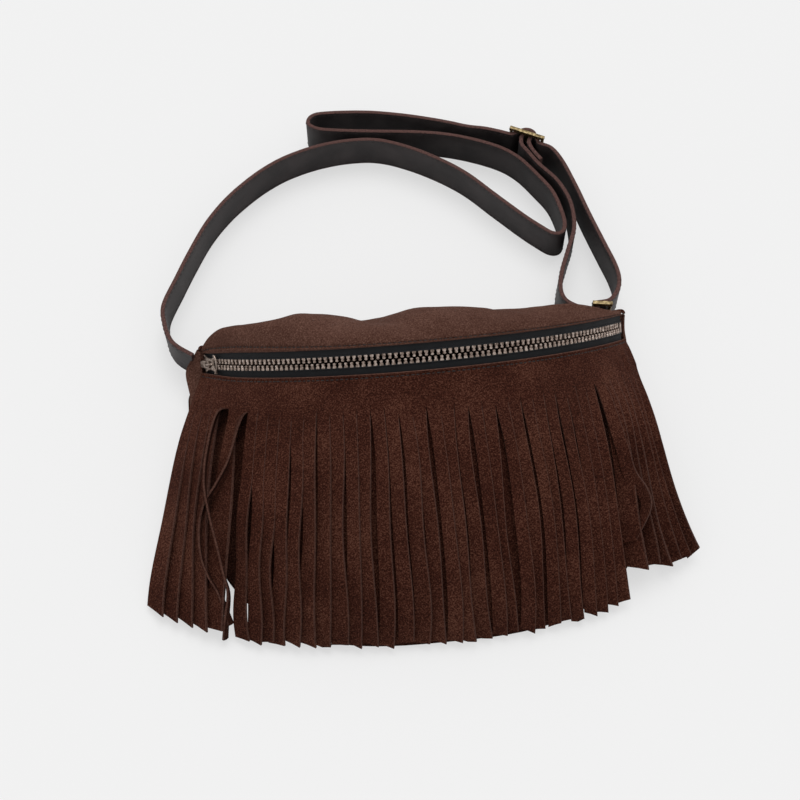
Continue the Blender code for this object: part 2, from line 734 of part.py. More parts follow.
def thinned(fine, step):
    """Keep stations up to a step apart, and closer where the route turns sharply."""
    kept = [0]
    for i in range(1, len(fine) - 1):
        last = fine[kept[-1]]
        before = fine[kept[-1] + 1] - last
        here = fine[i + 1] - fine[i]
        cosine = np.dot(before[:2], here[:2]) / (np.linalg.norm(before[:2]) * np.linalg.norm(here[:2]))
        far = np.linalg.norm(fine[i] - last)
        if far >= step or (cosine < math.cos(math.radians(15)) and far > 0.0008):
            kept.append(i)
    kept.append(len(fine) - 1)
    return fine[kept]


def buckle_frame():
    """Matrix with X along the strap at the buckle, Y to its outer side and Z up."""
    return Matrix.Translation((BUCKLE_X, BUCKLE_Y, 0.0)) @ Matrix.Rotation(BUCKLE_TURN, 4, "Z")


def buckle_route():
    """Plan of the strap through the buckle: outside the middle bar, inside the outer bars."""
    wrap = BUCKLE_BAR / 2 + SEAT_GAP + STRAP_THICK / 2
    over = wrap + SEAT_GAP + STRAP_THICK
    swing = math.asin((over + wrap) / BUCKLE_PITCH)
    points = [(-BUCKLE_PITCH - 0.010, -wrap - 0.0008)]
    for turn in (0.0, 0.55 * swing, swing):
        points.append((-BUCKLE_PITCH + wrap * math.sin(turn), -wrap * math.cos(turn)))
    for turn in (-swing, -0.5 * swing, 0.0, 0.5 * swing, swing):
        points.append((over * math.sin(turn), over * math.cos(turn)))
    for turn in (-swing, -0.55 * swing, 0.0):
        points.append((BUCKLE_PITCH + wrap * math.sin(turn), -wrap * math.cos(turn)))
    points.append((BUCKLE_PITCH + 0.010, -wrap - 0.0008))
    return on_plan(buckle_frame(), points)


def tail_route():
    """Plan of the strap's sewn end: up to the middle bar, round it and back down beside itself."""
    wrap = BUCKLE_BAR / 2 + SEAT_GAP + STRAP_THICK / 2
    beside = STRAP_THICK + 2 * SEAT_GAP
    points = [(0.0080, -0.0165), (0.0000, -0.0110), (-wrap + 0.0003, -0.0050)]
    for turn in (-90, -45, 0, 45, 90):
        angle = math.radians(turn)
        points.append((wrap * math.sin(angle), wrap * math.cos(angle)))
    points += [(wrap + 0.0002, -0.0030), (wrap + 0.0010, -0.0065)]
    points += [(0.0080 + 0.6 * beside, -0.0165 + 0.95 * beside), (0.0180 + 0.5 * beside, -0.0230 + 0.95 * beside)]
    return on_plan(buckle_frame(), points)


def on_plan(frame, points):
    placed = [frame @ Vector((x, y, 0.0)) for x, y in points]
    return [(p.x, p.y, STRAP_BASE) for p in placed]


def ring_frame():
    """Matrix at the ring's strap bar, with X towards its tab bar and Z up."""
    seam = end_point(1, *TAB_SEAM_AT)
    place = Matrix.Translation((seam.x + RING_FROM_SEAM_X, seam.y + RING_FROM_SEAM_Y, 0.0))
    return place @ Matrix.Rotation(RING_TURN, 4, "Z")


def ring_route():
    """Plan of the strap round the ring's bar, on the bag's side of it."""
    wrap = RING_BAR / 2 + 3 * SEAT_GAP + STRAP_THICK / 2
    points = []
    for turn in (60, 30, 0, -30, -60, -90):
        angle = math.radians(turn)
        points.append((wrap * math.cos(angle), wrap * math.sin(angle)))
    return on_plan(ring_frame(), points)


def moved(points, origin):
    """Route points (x, y, lift) that are given from a point of the bag."""
    return [(origin.x + x, origin.y + y, lift) for x, y, lift in points]


def strap_route():
    """The strap's route from the bag's left end to its sewn tail, as (x, y, lift)."""
    seam = end_point(-1, *STRAP_SEAM_AT)
    ring = ring_frame().translation
    left = [(-0.0018, -0.0044, 0.003), (-0.0139, 0.0051, 0.003), (-0.0199, 0.0146, 0.002)]
    left += [(-0.0234, 0.0286, 0.001), (-0.0239, 0.0466, 0.0)]
    arc = [(-0.184, 0.176), (-0.173, 0.200), (-0.159, 0.227), (-0.143, 0.249), (-0.125, 0.267)]
    arc += [(-0.107, 0.281), (-0.088, 0.2915), (-0.062, 0.3000), (-0.035, 0.3035), (-0.010, 0.3015)]
    arc += [(0.015, 0.2910), (0.040, 0.2750), (0.061, 0.2570), (0.082, 0.2320), (0.102, 0.2085)]
    turn = [(0.1130, 0.1970), (0.1225, 0.1885), (0.1300, 0.1880), (0.1340, 0.1950)]
    back = [(0.1340, 0.2080), (0.1300, 0.2300), (0.1210, 0.2480), (0.1070, 0.2700), (0.0890, 0.2850)]
    back += [(0.058, 0.2990), (0.027, 0.3065), (-0.020, 0.3125), (-0.047, 0.3165)]
    far = [(-0.0610, 0.3200), (-0.0680, 0.3265), (-0.0640, 0.3345), (-0.051, 0.3365)]
    far += [(-0.018, 0.3340), (0.007, 0.3290), (0.029, 0.3230), (0.050, 0.3160), (0.068, 0.3090)]
    flat = [(x, y, 0.0) for x, y in arc + turn + back + far]
    rise = [(0.082, 0.3040, 0.0015)]
    down = [(0.1425, 0.2600, 0.003), (0.1500, 0.2330, 0.001), (0.1560, 0.2050, 0.0)]
    down += [(0.1630, 0.1740, 0.0)]
    near = [(0.0260, 0.0405, 0.001), (0.0265, 0.0255, 0.002), (0.0225, 0.0135, 0.003)]
    near += [(0.0145, 0.0045, STRAP_BASE)]
    off = [(-0.0065, -0.0010, STRAP_BASE), (-0.0140, 0.0035, 0.003), (-0.0200, 0.0105, 0.002)]
    off += [(-0.0215, 0.0215, 0.001)]
    up = [(0.1240, 0.1490, 0.0), (0.1330, 0.1710, 0.0), (0.1405, 0.1890, 0.0)]
    up += [(0.1430, 0.2050, 0.0), (0.1420, 0.2230, 0.0), (0.1350, 0.2420, 0.001), (0.1224, 0.2588, 0.003)]
    route = moved(left, seam) + flat + rise + buckle_route() + down
    return route + moved(near, ring) + ring_route() + moved(off, ring) + up + tail_route()


def strap(mat):
    """The strap's band along its route, upright all the way."""
    stations = catmull(strap_route(), STRAP_STATION)
    ahead = np.gradient(stations, axis=0)
    bm = bmesh.new()
    rings = []
    for place, way in zip(stations, ahead):
        side = Vector((-way[1], way[0], 0.0)).normalized() * STRAP_THICK / 2
        foot = Vector(place)
        head = foot + Vector((0.0, 0.0, STRAP_WIDTH))
        rings.append([bm.verts.new(p) for p in (foot - side, foot + side, head + side, head - side)])
    for a, b in zip(rings, rings[1:]):
        for i in range(4):
            j = (i + 1) % 4
            bm.faces.new((a[i], b[i], b[j], a[j]))
    bm.faces.new(list(reversed(rings[0])))
    bm.faces.new(rings[-1])
    return add_object("strap", bm, mat)


def barred_frame(name, bars, bar, frame, mat):
    """A frame of upright bars joined by a rail above and a rail below the strap."""
    inner_low = BUCKLE_CLEAR / 2 + bar
    inner_high = STRAP_BASE + STRAP_WIDTH + BUCKLE_CLEAR
    low = bars[0] - bar / 2
    high = bars[-1] + bar / 2
    pieces = []
    for z0, z1 in ((inner_low - bar, inner_low), (inner_high, inner_high + bar)):
        rail = bmesh.new()
        add_box(rail, low, high, -bar / 2, bar / 2, z0, z1)
        pieces.append(rail)
    for x in bars:
        post = bmesh.new()
        circle = bmesh.ops.create_cone(
            post,
            cap_ends=True,
            segments=12,
            radius1=bar * 0.49,
            radius2=bar * 0.49,
            depth=inner_high - inner_low + bar,
        )
        middle = (inner_high + inner_low) / 2
        bmesh.ops.translate(post, verts=circle["verts"], vec=(x, 0.0, middle))
        pieces.append(post)
    obj = joined(name, pieces, mat)
    obj.data.transform(frame)
    return obj


def ring_tab(mat):
    """Suede loop round the ring's tab bar, with both leaves running to the bag's end seam."""
    inner = RING_BAR / 2 + SEAT_GAP
    outer = inner + FRINGE_THICK
    bm = bmesh.new()
    profile_out = [(0.0, outer)]
    profile_in = [(0.0, inner)]
    for i in range(9):
        angle = math.radians(90 + 180 * i / 8)
        profile_out.append((outer * math.cos(angle), outer * math.sin(angle)))
        profile_in.append((inner * math.cos(angle), inner * math.sin(angle)))
    profile_out.append((0.0, -outer))
    profile_in.append((0.0, -inner))
    low_z = BUCKLE_BAR + BUCKLE_CLEAR + SEAT_GAP
    grids = []
    for profile in (profile_out, profile_in):
        rows = []
        for i, (x, y) in enumerate(profile):
            leaf = 1.0 if i in (0, len(profile) - 1) else 0.0
            low = Vector((x + leaf * TAB_REACH_LOW, y, low_z))
            high = Vector((x + leaf * TAB_REACH_HIGH, y, low_z + TAB_HEIGHT))
            rows.append([low, high])
        grids.append(rows)
    close_grid(bm, grids[0], grids[1])
    obj = add_object("ring_tab", bm, mat)
    bar = ring_frame() @ Vector((RING_PITCH, 0.0, 0.0))
    obj.data.transform(Matrix.Translation(bar) @ Matrix.Rotation(TAB_TURN, 4, "Z"))
    return obj


def build():
    clear_scene()
    suede = material("suede_brown", (0.050, 0.020, 0.012), 0.95)
    suede_inside = material("suede_back", (0.040, 0.017, 0.010), 0.95)
    leather = material("strap_leather", (0.020, 0.017, 0.017), 0.55)
    tape = material("zip_tape", (0.010, 0.011, 0.014), 0.90)
    bronze = material("zip_bronze", (0.28, 0.22, 0.17), 0.40, 0.9)
    brass = material("buckle_brass", (0.24, 0.17, 0.08), 0.40, 0.9)
    back_panel(suede_inside)
    shares = spaced(-1.0, 1.0, 30)
    panel("front_panel", front_point, shares, spaced(0.0, 1.0, 10), SUEDE, suede, -1.0)
    panel("top_panel", top_point, shares, [0.0, 0.02, 0.05, *spaced(0.1, 1.0, 9)], SUEDE, suede, 1.0)
    for name, side in (("left_end_panel", -1), ("right_end_panel", 1)):
        def patch(share, down, side=side):
            return end_point(side, (share + 1.0) / 2.0, down)
        zip_end = zip_point(zip_angle(side))
        inside = Vector((zip_end.x - side * END_INSIDE_X, BACK_WIDEST_Y + END_INSIDE_Y, END_INSIDE_Z))
        panel(name, patch, spaced(-0.93, 0.93, 8), spaced(0.0, 1.0, 8), SUEDE, suede, float(-side), inside)
    fringe_panel(suede)
    half = TAPE_THICK / 2
    zip_strip("zip_tape_lower", -TAPE_OUTER, -TAPE_INNER, -half, half, tape)
    zip_strip("zip_tape_upper", TAPE_INNER, TAPE_OUTER, -half, half, tape)
    teeth("zip_teeth_lower", -1, bronze)
    teeth("zip_teeth_upper", 1, bronze)
    edge = STOP_LENGTH / 2 / ZIP_RADIUS
    near = TOOTH_CHANNEL / 2
    zip_stop("zip_stop_left_lower", ZIP_LEFT_END + edge, -TOOTH_REACH, -near, bronze)
    zip_stop("zip_stop_left_upper", ZIP_LEFT_END + edge, near, TOOTH_REACH, bronze)
    zip_stop("zip_stop_right", ZIP_RIGHT_END - edge, -TOOTH_REACH, TOOTH_REACH, bronze)
    zip_slider(bronze)
    zip_pull(bronze)
    strap(leather)
    bars = [-BUCKLE_PITCH, 0.0, BUCKLE_PITCH]
    barred_frame("strap_buckle", bars, BUCKLE_BAR, buckle_frame(), brass)
    barred_frame("strap_ring", [0.0, RING_PITCH], RING_BAR, ring_frame(), brass)
    ring_tab(suede)


build()
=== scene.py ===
"""Looks of a fringed suede hip bag that lies on its back, with its strap standing on edge behind it.

The zip's arc, the panels' surfaces and the strap's route repeat the sizes of the solids, in metres.
+X is to the bag's right as seen from the front, +Y towards the strap and +Z up from the table.
"""

import json
import math

import bmesh
import bpy
import numpy as np
from mathutils import Matrix, Vector, noise


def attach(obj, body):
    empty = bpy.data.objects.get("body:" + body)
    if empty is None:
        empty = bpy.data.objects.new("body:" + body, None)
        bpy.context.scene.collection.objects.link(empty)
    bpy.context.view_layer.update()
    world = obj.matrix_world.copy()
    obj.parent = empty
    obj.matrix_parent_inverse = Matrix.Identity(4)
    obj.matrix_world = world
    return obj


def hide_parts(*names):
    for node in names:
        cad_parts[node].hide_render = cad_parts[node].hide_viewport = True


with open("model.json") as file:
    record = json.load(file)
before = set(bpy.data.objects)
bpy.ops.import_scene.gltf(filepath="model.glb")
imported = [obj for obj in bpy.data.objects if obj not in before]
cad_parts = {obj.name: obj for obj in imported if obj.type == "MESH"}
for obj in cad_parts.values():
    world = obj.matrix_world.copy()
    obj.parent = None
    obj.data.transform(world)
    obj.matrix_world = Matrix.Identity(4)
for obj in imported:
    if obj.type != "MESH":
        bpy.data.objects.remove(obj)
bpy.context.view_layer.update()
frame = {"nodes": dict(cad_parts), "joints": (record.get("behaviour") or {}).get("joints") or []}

# Zip: its arc turns about the slider's joint
ZIP_JOINT = next(j for j in frame["joints"] if j["name"] == "zip_slide")
ZIP_CENTRE = Vector(ZIP_JOINT["pos_m"])
ZIP_ACROSS = Vector(ZIP_JOINT["axis"]).normalized()
ZIP_OUT = Vector((1.0, 0.0, 0.0)).cross(ZIP_ACROSS)
ZIP_RADIUS = 0.186
ZIP_LEFT_DROP = 0.09868
ZIP_RIGHT_DROP = 0.0930
ZIP_LEFT_END = -math.acos(1.0 - ZIP_LEFT_DROP / ZIP_RADIUS)
ZIP_RIGHT_END = math.acos(1.0 - ZIP_RIGHT_DROP / ZIP_RADIUS)
MOUTH_HALF = 0.0098
TAPE_OUTER = 0.0104
TAPE_INNER = 0.00425
TAPE_THICK = 0.0008
SEAT_GAP = 0.0003
PANEL_FOOT = TAPE_THICK / 2 + SEAT_GAP
STOP_LENGTH = 0.0032

# Teeth and slider
TOOTH_PITCH = 0.0043
TOOTH_REACH = 0.0043
TOOTH_HALF_THICK = 0.0015
SLIDER_LENGTH = 0.0185
SLIDER_WIDTH = 0.0146
SLIDER_WAIST = 0.0090
SLIDER_WEB_LENGTH = 0.0030
SLIDER_WEB = 0.00035
PLATE_IN = 0.0019
PLATE_OUT = 0.0032
CROWN_SPAN = 0.0076
CROWN_RISE = 0.0030
CROWN_RADIUS = 0.00105
RIM_RADIUS = 0.00085
RIM_HALF_WIDTH = 0.0068
RIM_BOW = 0.0036
RIM_FROM_END = 0.0028
SLIDER_FROM_STOP = 0.0016
SLIDER_ANGLE = ZIP_LEFT_END + (SLIDER_LENGTH / 2 + STOP_LENGTH + SLIDER_FROM_STOP) / ZIP_RADIUS
# How far the rows of teeth stay clear of the slider's web and of the right stop
TEETH_CLEAR = 0.0024

# Outline of the back, in four quarter superellipses, and the body's panels
LEFT_PAST_ZIP = 0.0158
RIGHT_PAST_ZIP = 0.0089
BACK_LEFT = -ZIP_RADIUS * math.sin(ZIP_LEFT_END) + LEFT_PAST_ZIP
BACK_RIGHT = ZIP_RADIUS * math.sin(ZIP_RIGHT_END) + RIGHT_PAST_ZIP
BACK_WIDEST_Y = 0.075
BACK_TOP_Y = 0.117
# The dressed body reaches 11 mm lower than the solid one, as its soft edge does in the photograph
BACK_BOTTOM_Y = -0.139
BACK_BOTTOM_POWER = 3.0
BACK_TOP_POWER = 2.2
FRONT_END_TURN = math.radians(-6.0)
TOP_END_TURN = math.radians(42.0)
BACK_THICK = 0.0020
BACK_SEAM = 0.0012
RIM_Z = BACK_THICK + SEAT_GAP
SUEDE = 0.0014
# End panels, with -1 for the left one and 1 for the right one
END_SWELL = {-1: 0.022, 1: 0.002}
END_DROP = {-1: -0.02, 1: 0.15}
RIGHT_END_SAG = 0.007
END_INSIDE = (0.044, 0.010, 0.012)
END_LEAN = 3.0
TOP_END_HANDLE = 0.012
END_SET_OFF = 0.0026
BODY_HEIGHT = 0.105
TOP_DEPTH = 0.115
TOP_FULLNESS = 0.018
TOP_SHOULDER = 0.075
TOP_FOLD = 0.0040
TOP_FOLD_PITCH = 0.56
TOP_BUMP = 0.0065
TOP_BUMP_AT = 0.80
TOP_BUMP_WIDTH = 0.15
TOP_PUFF = 0.0150
TOP_PUFF_AT = -0.85
TOP_PUFF_WIDTH = 0.42
FRONT_FULLNESS = 0.22
# Where the two middle control points of the front's curves lie, as shares of the way down
FIRST_HANDLE = 0.33
SECOND_HANDLE = 0.83
SECOND_HANDLE_RISE = 0.60
# Deeper than on the solid, so that the gaps between the strips fall into shadow
FRONT_TUCK = 0.0040
FRONT_CORNER_TUCK = 0.0045
FRONT_CORNER_AT = 0.68
FRONT_CORNER_WIDTH = 0.16

# Fringe: how it is cut, with its strips numbered from the left and the main group's first and last
STRIPS = 42
STRIP_PITCH = 2.0 / STRIPS
FIRST_MAIN_STRIP = 7
LAST_MAIN_STRIP = 35
FRINGE_THICK = 0.0015
FRINGE_BAND = 0.028
FRINGE_SLIT = 0.0003
FRINGE_SLIT_STAGGER = 0.004
FRINGE_LENGTH = 0.194
STRIP_WIDTH = 0.0092
STRIP_OVERLAP = 0.955
STRIP_WIDTH_VARIES = 0.09
TIP_SLANT = 0.014
STRAY_TIP_SLANT = 0.004

# How the strips lie: each on its neighbour, the side groups fanned out and tucked in
FRINGE_SHINGLE = 0.0034
RIGHT_SHINGLE = 2.4
SHINGLE_VARIES = 0.25
SIDE_TUCK = 1.0
LEFT_FAN = 0.36
STRIP_LEAN = 0.14
STRIP_BOW = 0.26
STRIP_WAVE = 0.10
STRIP_LIFT = 0.0006
STRIP_LIFT_VARIES = 0.0010
STRIP_CURL = 0.0004
TIP_HALF_SPREAD = 0.1985
TIP_CROWDING = 1.1
TIP_MID_Y = -0.1405
TIP_SIDE_RISE = 0.042
TIP_HEIGHT = 0.0030
TIP_LEFTWARD = 0.0050
TIP_SIDE_LEFTWARD = 0.0070
LEFT_BULGE = (0.010, 0.003)
RIGHT_BULGE = (0.001, -0.009)

# Strap, buckle and ring
STRAP_WIDTH = 0.030
STRAP_THICK = 0.0034
STRAP_SEAM_AT = (0.925, 0.117)
TAB_SEAM_AT = (0.900, 0.517)
BUCKLE_X = 0.1165
BUCKLE_Y = 0.2895
BUCKLE_TURN = math.radians(-29.0)
BAR = 0.0030
BUCKLE_PITCH = 0.0140
STRAP_BASE = 0.0040
RING_FROM_SEAM_X = -0.0092
RING_FROM_SEAM_Y = 0.0119
RING_TURN = math.radians(-10.0)

# Topstitching along the zip: how far in from the edge, and each stitch's pitch, length and thread
STITCH_INSET = 0.0030
STITCH_PITCH = 0.0036
STITCH_LENGTH = 0.0024
THREAD_RADIUS = 0.00052
MOUTH_LIP = 0.0016

# Sewn lines of the strap
STRAP_STITCH_INSET = 0.0024
STRAP_STITCH_PITCH = 0.0046
STRAP_STITCH_LENGTH = 0.0030
STRAP_THREAD_RADIUS = 0.00032

# Photograph's view of the bag: camera angles, aim, distance and lens
VIEW_ELEVATION = math.radians(60.0)
VIEW_AZIMUTH = math.radians(-5.97)
VIEW_AIM = Vector((-0.0185, 0.0379, 0.04))
VIEW_DISTANCE = 1.0
VIEW_LENS = 60.0

# Soft daylight: the sky's strength, and the window's strength, spread and place
SKY_STRENGTH = 0.66
WINDOW_STRENGTH = 1.25
WINDOW_SPREAD = math.radians(38.0)
WINDOW_FROM = Vector((0.10, 0.50, 1.0))
FLOOR_HALF = 4.0
FLOOR_DROP = 0.0003
PAPER_GLOW = 0.65


def smooth(value):
    value = min(1.0, max(0.0, value))
    return value * value * (3.0 - 2.0 * value)


def mix(low, high, share):
    return low + (high - low) * share


def spaced(low, high, count):
    return [mix(low, high, i / count) for i in range(count + 1)]


def bell(distance, width):
    """A smooth hump of height 1 that fades over a width."""
    return math.exp(-((distance / width) ** 2))


def wobble(number, salt):
    """A repeatable value between -1 and 1, so that no two strips match."""
    turn = math.sin(number * 12.9898 + salt * 78.233) * 43758.5453
    return 2.0 * (turn - math.floor(turn)) - 1.0


def bezier(points, share):
    rest = 1.0 - share
    a, b, c, d = points
    return a * rest**3 + b * (3 * rest**2 * share) + c * (3 * rest * share**2) + d * share**3


# The bag's surfaces, as its solids have them


def zip_outward(angle):
    return Vector((math.sin(angle), 0.0, 0.0)) + math.cos(angle) * ZIP_OUT


def zip_point(angle, across=0.0, out=0.0):
    """Point of the zip: angle round its arc, distance across its width and outward."""
    return ZIP_CENTRE + (ZIP_RADIUS + out) * zip_outward(angle) + across * ZIP_ACROSS


def zip_angle(share):
    return mix(ZIP_LEFT_END, ZIP_RIGHT_END, (share + 1.0) / 2.0)


def zip_frame(angle):
    """Matrix with X along the zip, Y across it and Z outward, at an angle on its arc."""
    along = Vector((math.cos(angle), 0.0, 0.0)) - math.sin(angle) * ZIP_OUT
    turn = Matrix((along, ZIP_ACROSS, zip_outward(angle))).transposed().to_4x4()
    return Matrix.Translation(zip_point(angle)) @ turn


def outline_point(turn):
    """Back outline in plan: turn is 0 at the right, a quarter turn at the top edge."""
    c = math.cos(turn)
    s = math.sin(turn)
    half = BACK_RIGHT if c > 0 else BACK_LEFT
    rise = BACK_TOP_Y - BACK_WIDEST_Y if s > 0 else BACK_WIDEST_Y - BACK_BOTTOM_Y
    power = BACK_TOP_POWER if s > 0 else BACK_BOTTOM_POWER
    x = half * math.copysign(abs(c) ** (2.0 / power), c)
    y = BACK_WIDEST_Y + rise * math.copysign(abs(s) ** (2.0 / power), s)
    return x, y


def rim_point(turn):
    x, y = outline_point(turn)
    return Vector((x, y, RIM_Z))


def front_foot(share):
    return rim_point(mix(-math.pi - FRONT_END_TURN, FRONT_END_TURN, (share + 1.0) / 2.0))


def top_foot(share):
    return rim_point(mix(math.pi - TOP_END_TURN, TOP_END_TURN, (share + 1.0) / 2.0))


def end_foot(side, share):
    turn = mix(FRONT_END_TURN, TOP_END_TURN, share)
    return rim_point(turn if side > 0 else math.pi - turn)


def tip_point(share):
    """Where the fringe's tips end, before each strip's own small change."""
    x = TIP_HALF_SPREAD * math.sin(share * TIP_CROWDING) / math.sin(TIP_CROWDING)
    x -= TIP_LEFTWARD + TIP_SIDE_LEFTWARD * share * share
    return Vector((x, TIP_MID_Y + TIP_SIDE_RISE * share * share, TIP_HEIGHT))


def fringe_curve(share):
    """Control points of the fringe from the zip down to its tips."""
    start = zip_point(zip_angle(share), -MOUTH_HALF, PANEL_FOOT + SUEDE + SEAT_GAP)
    tip = tip_point(share)
    side = abs(share) ** 4
    rise = start.z - tip.z
    bulge = LEFT_BULGE if share < 0 else RIGHT_BULGE
    outward = Vector((math.copysign(side, share), 0.0, 0.0))
    first = mix(start, tip, FIRST_HANDLE) + outward * bulge[0]
    first.z = start.z - FRONT_FULLNESS * rise + 0.012 * side
    second = mix(start, tip, SECOND_HANDLE) + outward * bulge[1]
    second.z = tip.z + SECOND_HANDLE_RISE * rise + 0.008 * side
    return start, first, second, tip


def fringe_point(share, down):
    return bezier(fringe_curve(share), down)


def front_curve(share):
    """Control points of the front panel's outer face, from the zip to the back's outline."""
    start = zip_point(zip_angle(share), -MOUTH_HALF - BACK_SEAM, PANEL_FOOT + SUEDE)
    foot = front_foot(share)
    _, first, second, tip = fringe_curve(share)
    middle = 1.0 - abs(share) ** 4
    near = mix(start, foot, FIRST_HANDLE)
    near.z = start.z - FRONT_FULLNESS * (start.z - foot.z)
    far = foot + (second - tip) * mix(0.7, 1.0, middle)
    return start, mix(near, first, 0.7 * middle), mix(far, second, 0.6 * middle), foot


def front_point(share, down):
    """Outer face of the front panel, tucked in a little under the fringe."""
    corner = bell(abs(share) - FRONT_CORNER_AT, FRONT_CORNER_WIDTH)
    tuck = (FRONT_TUCK + FRONT_CORNER_TUCK * corner * smooth(down * 2.5)) * smooth(down * 6.0)
    tuck *= (1.0 - smooth((down - 0.65) / 0.35)) * smooth((1.0 - abs(share)) * 8.0)
    inward = Vector((0.15 * math.copysign(corner, -share), 0.35, -0.93))
    return bezier(front_curve(share), down) + inward * tuck


def top_curve(share):
    """Control points of the top panel's outer face, from the zip over to the back's outline."""
    start = zip_point(zip_angle(share), MOUTH_HALF, PANEL_FOOT + SUEDE)
    foot = top_foot(share)
    at_end = Vector((math.copysign(0.4, share), 0.85, 0.25)) * TOP_END_HANDLE
    first = start + mix(ZIP_ACROSS * TOP_FULLNESS * mix(1.0, 0.5, share**4), at_end, share**24)
    second = foot + Vector((0.0, -0.006, TOP_SHOULDER * (start.z - foot.z) / BODY_HEIGHT))
    return start, first, second, foot


def top_point(share, down):
    """Outer face of the top panel: soft folds, the bump over the ring and the full left end."""
    wave = math.cos(2.0 * math.pi * (share + 0.43 - 0.25 * (down - 0.6)) / TOP_FOLD_PITCH)
    belly = math.sin(math.pi * down) ** 2
    fold = TOP_FOLD * mix(1.0, 0.35, smooth(share + 0.5)) * belly * wave * (1.0 - share**4)
    bump = TOP_BUMP * bell(share - TOP_BUMP_AT, TOP_BUMP_WIDTH) * belly
    puff = TOP_PUFF * bell(share - TOP_PUFF_AT, TOP_PUFF_WIDTH) * (1.0 - share**24)
    raised = fold + puff * math.sin(math.pi * down**0.75)
    outward = Vector((0.0, 0.6, 0.8)) * raised + Vector((0.0, 0.3, 0.95)) * bump
    return bezier(top_curve(share), down) + outward


def end_point(side, share, down):
    """Outer face of an end panel: share runs from the front panel's edge to the top panel's."""
    foot = end_foot(side, share)
    points = [mix(a, b, share) for a, b in zip(front_curve(side), top_curve(side))]
    past = Vector((side * END_SET_OFF, 0.0, 0.0))
    inner = math.sin(math.pi * share)
    if side > 0:
        past.z = -RIGHT_END_SAG * math.sqrt(inner)
    drop = END_DROP[side] * (points[0].z - foot.z)
    own = points[0] + Vector((side * END_SWELL[side], 0.0, -drop))
    first = mix(points[1], own, math.sqrt(inner)) + past
    above = Vector((foot.x, foot.y, points[2].z))
    second = mix(points[2], above, inner)
    return bezier((points[0] + past, first, second, foot), down)


def facing(func, u, v, flip):
    """Outward normal of a surface by differences; flip is -1 where the sense is reversed."""
    step = 1e-3
    du = func(min(u + step, 1.0), v) - func(max(u - step, -1.0), v)
    dv = func(u, min(v + step, 1.0)) - func(u, max(v - step, 0.0))
    return (du.cross(dv) * flip).normalized()


# Materials


def colour(code):
    """Linear RGBA of an sRGB hex value."""
    values = [int(code[i : i + 2], 16) / 255 for i in (1, 3, 5)]
    linear = [v / 12.92 if v <= 0.04045 else ((v + 0.055) / 1.055) ** 2.4 for v in values]
    return (*linear, 1.0)


def connect(tree, node, inputs):
    """Give a node its inputs: each is a value, or an output socket to link from."""
    for key, value in inputs.items():
        if isinstance(value, bpy.types.NodeSocket):
            tree.links.new(value, node.inputs[key])
        else:
            node.inputs[key].default_value = value


def add(tree, kind, inputs, **settings):
    """Add a node with its settings and inputs, and give back its first output."""
    new = tree.nodes.new(kind)
    for key, value in settings.items():
        setattr(new, key, value)
    connect(tree, new, inputs)
    return new.outputs[0]


def new_material(name):
    """A material with its node tree, its Principled node and object coordinates in metres."""
    mat = bpy.data.materials.new(name)
    mat.use_nodes = True
    tree = mat.node_tree
    return mat, tree, tree.nodes["Principled BSDF"], tree.nodes.new("ShaderNodeTexCoord").outputs["Object"]


def speckle(tree, place, size, detail, roughness=0.5):
    """Noise with grains of about this size in metres."""
    inputs = {"Vector": place, "Scale": 1 / size, "Detail": detail, "Roughness": roughness}
    return add(tree, "ShaderNodeTexNoise", inputs)


def threads(tree, place, width, distortion, direction):
    """Bands as wide as a thread, in metres."""
    inputs = {"Vector": place, "Scale": math.pi / 10 / width, "Distortion": distortion}
    new = tree.nodes.new("ShaderNodeTexWave")
    new.bands_direction = direction
    connect(tree, new, inputs)
    return new.outputs["Fac"]


def weighed(tree, value, weight, more=0.0):
    """A value times its weight, added to more."""
    return add(tree, "ShaderNodeMath", {0: value, 1: weight, 2: more}, operation="MULTIPLY_ADD")


def tinted(tree, shade, *stops):
    """Colours that follow a shade, from stops of (place, sRGB hex value)."""
    new = tree.nodes.new("ShaderNodeValToRGB")
    elements = new.color_ramp.elements
    while len(elements) < len(stops):
        elements.new(0.5)
    for element, (place, code) in zip(elements, stops):
        element.position = place
        element.color = colour(code)
    connect(tree, new, {"Fac": shade})
    return new.outputs["Color"]


def relief(tree, height, strength, depth):
    return add(tree, "ShaderNodeBump", {"Height": height, "Strength": strength, "Distance": depth})


def rubbed(tree, value, low, high):
    return add(tree, "ShaderNodeMapRange", {"Value": value, "To Min": low, "To Max": high})


def brushed_suede(name, dark, middle, light, sheen):
    """Split cowhide suede, buffed to a short nap: matt, speckled by the nap's lie, with a soft sheen."""
    mat, tree, shader, place = new_material(name)
    nap = speckle(tree, place, 0.0011, 2.0, 0.8)
    brushed = weighed(tree, speckle(tree, place, 0.0055, 3.0), 0.06, weighed(tree, nap, 0.74))
    shade = weighed(tree, speckle(tree, place, 0.040, 3.0), 0.20, brushed)
    fibre = weighed(tree, speckle(tree, place, 0.0008, 2.0), 1.0, nap)
    look = {"Base Color": tinted(tree, shade, (0.36, dark), (0.50, middle), (0.64, light))}
    look.update({"Normal": relief(tree, fibre, 0.8, 0.0006), "Roughness": 0.95, "Specular IOR Level": 0.08})
    look.update({"Sheen Weight": sheen, "Sheen Roughness": 0.45, "Sheen Tint": colour("#a8705c")})
    connect(tree, shader, look)
    return mat


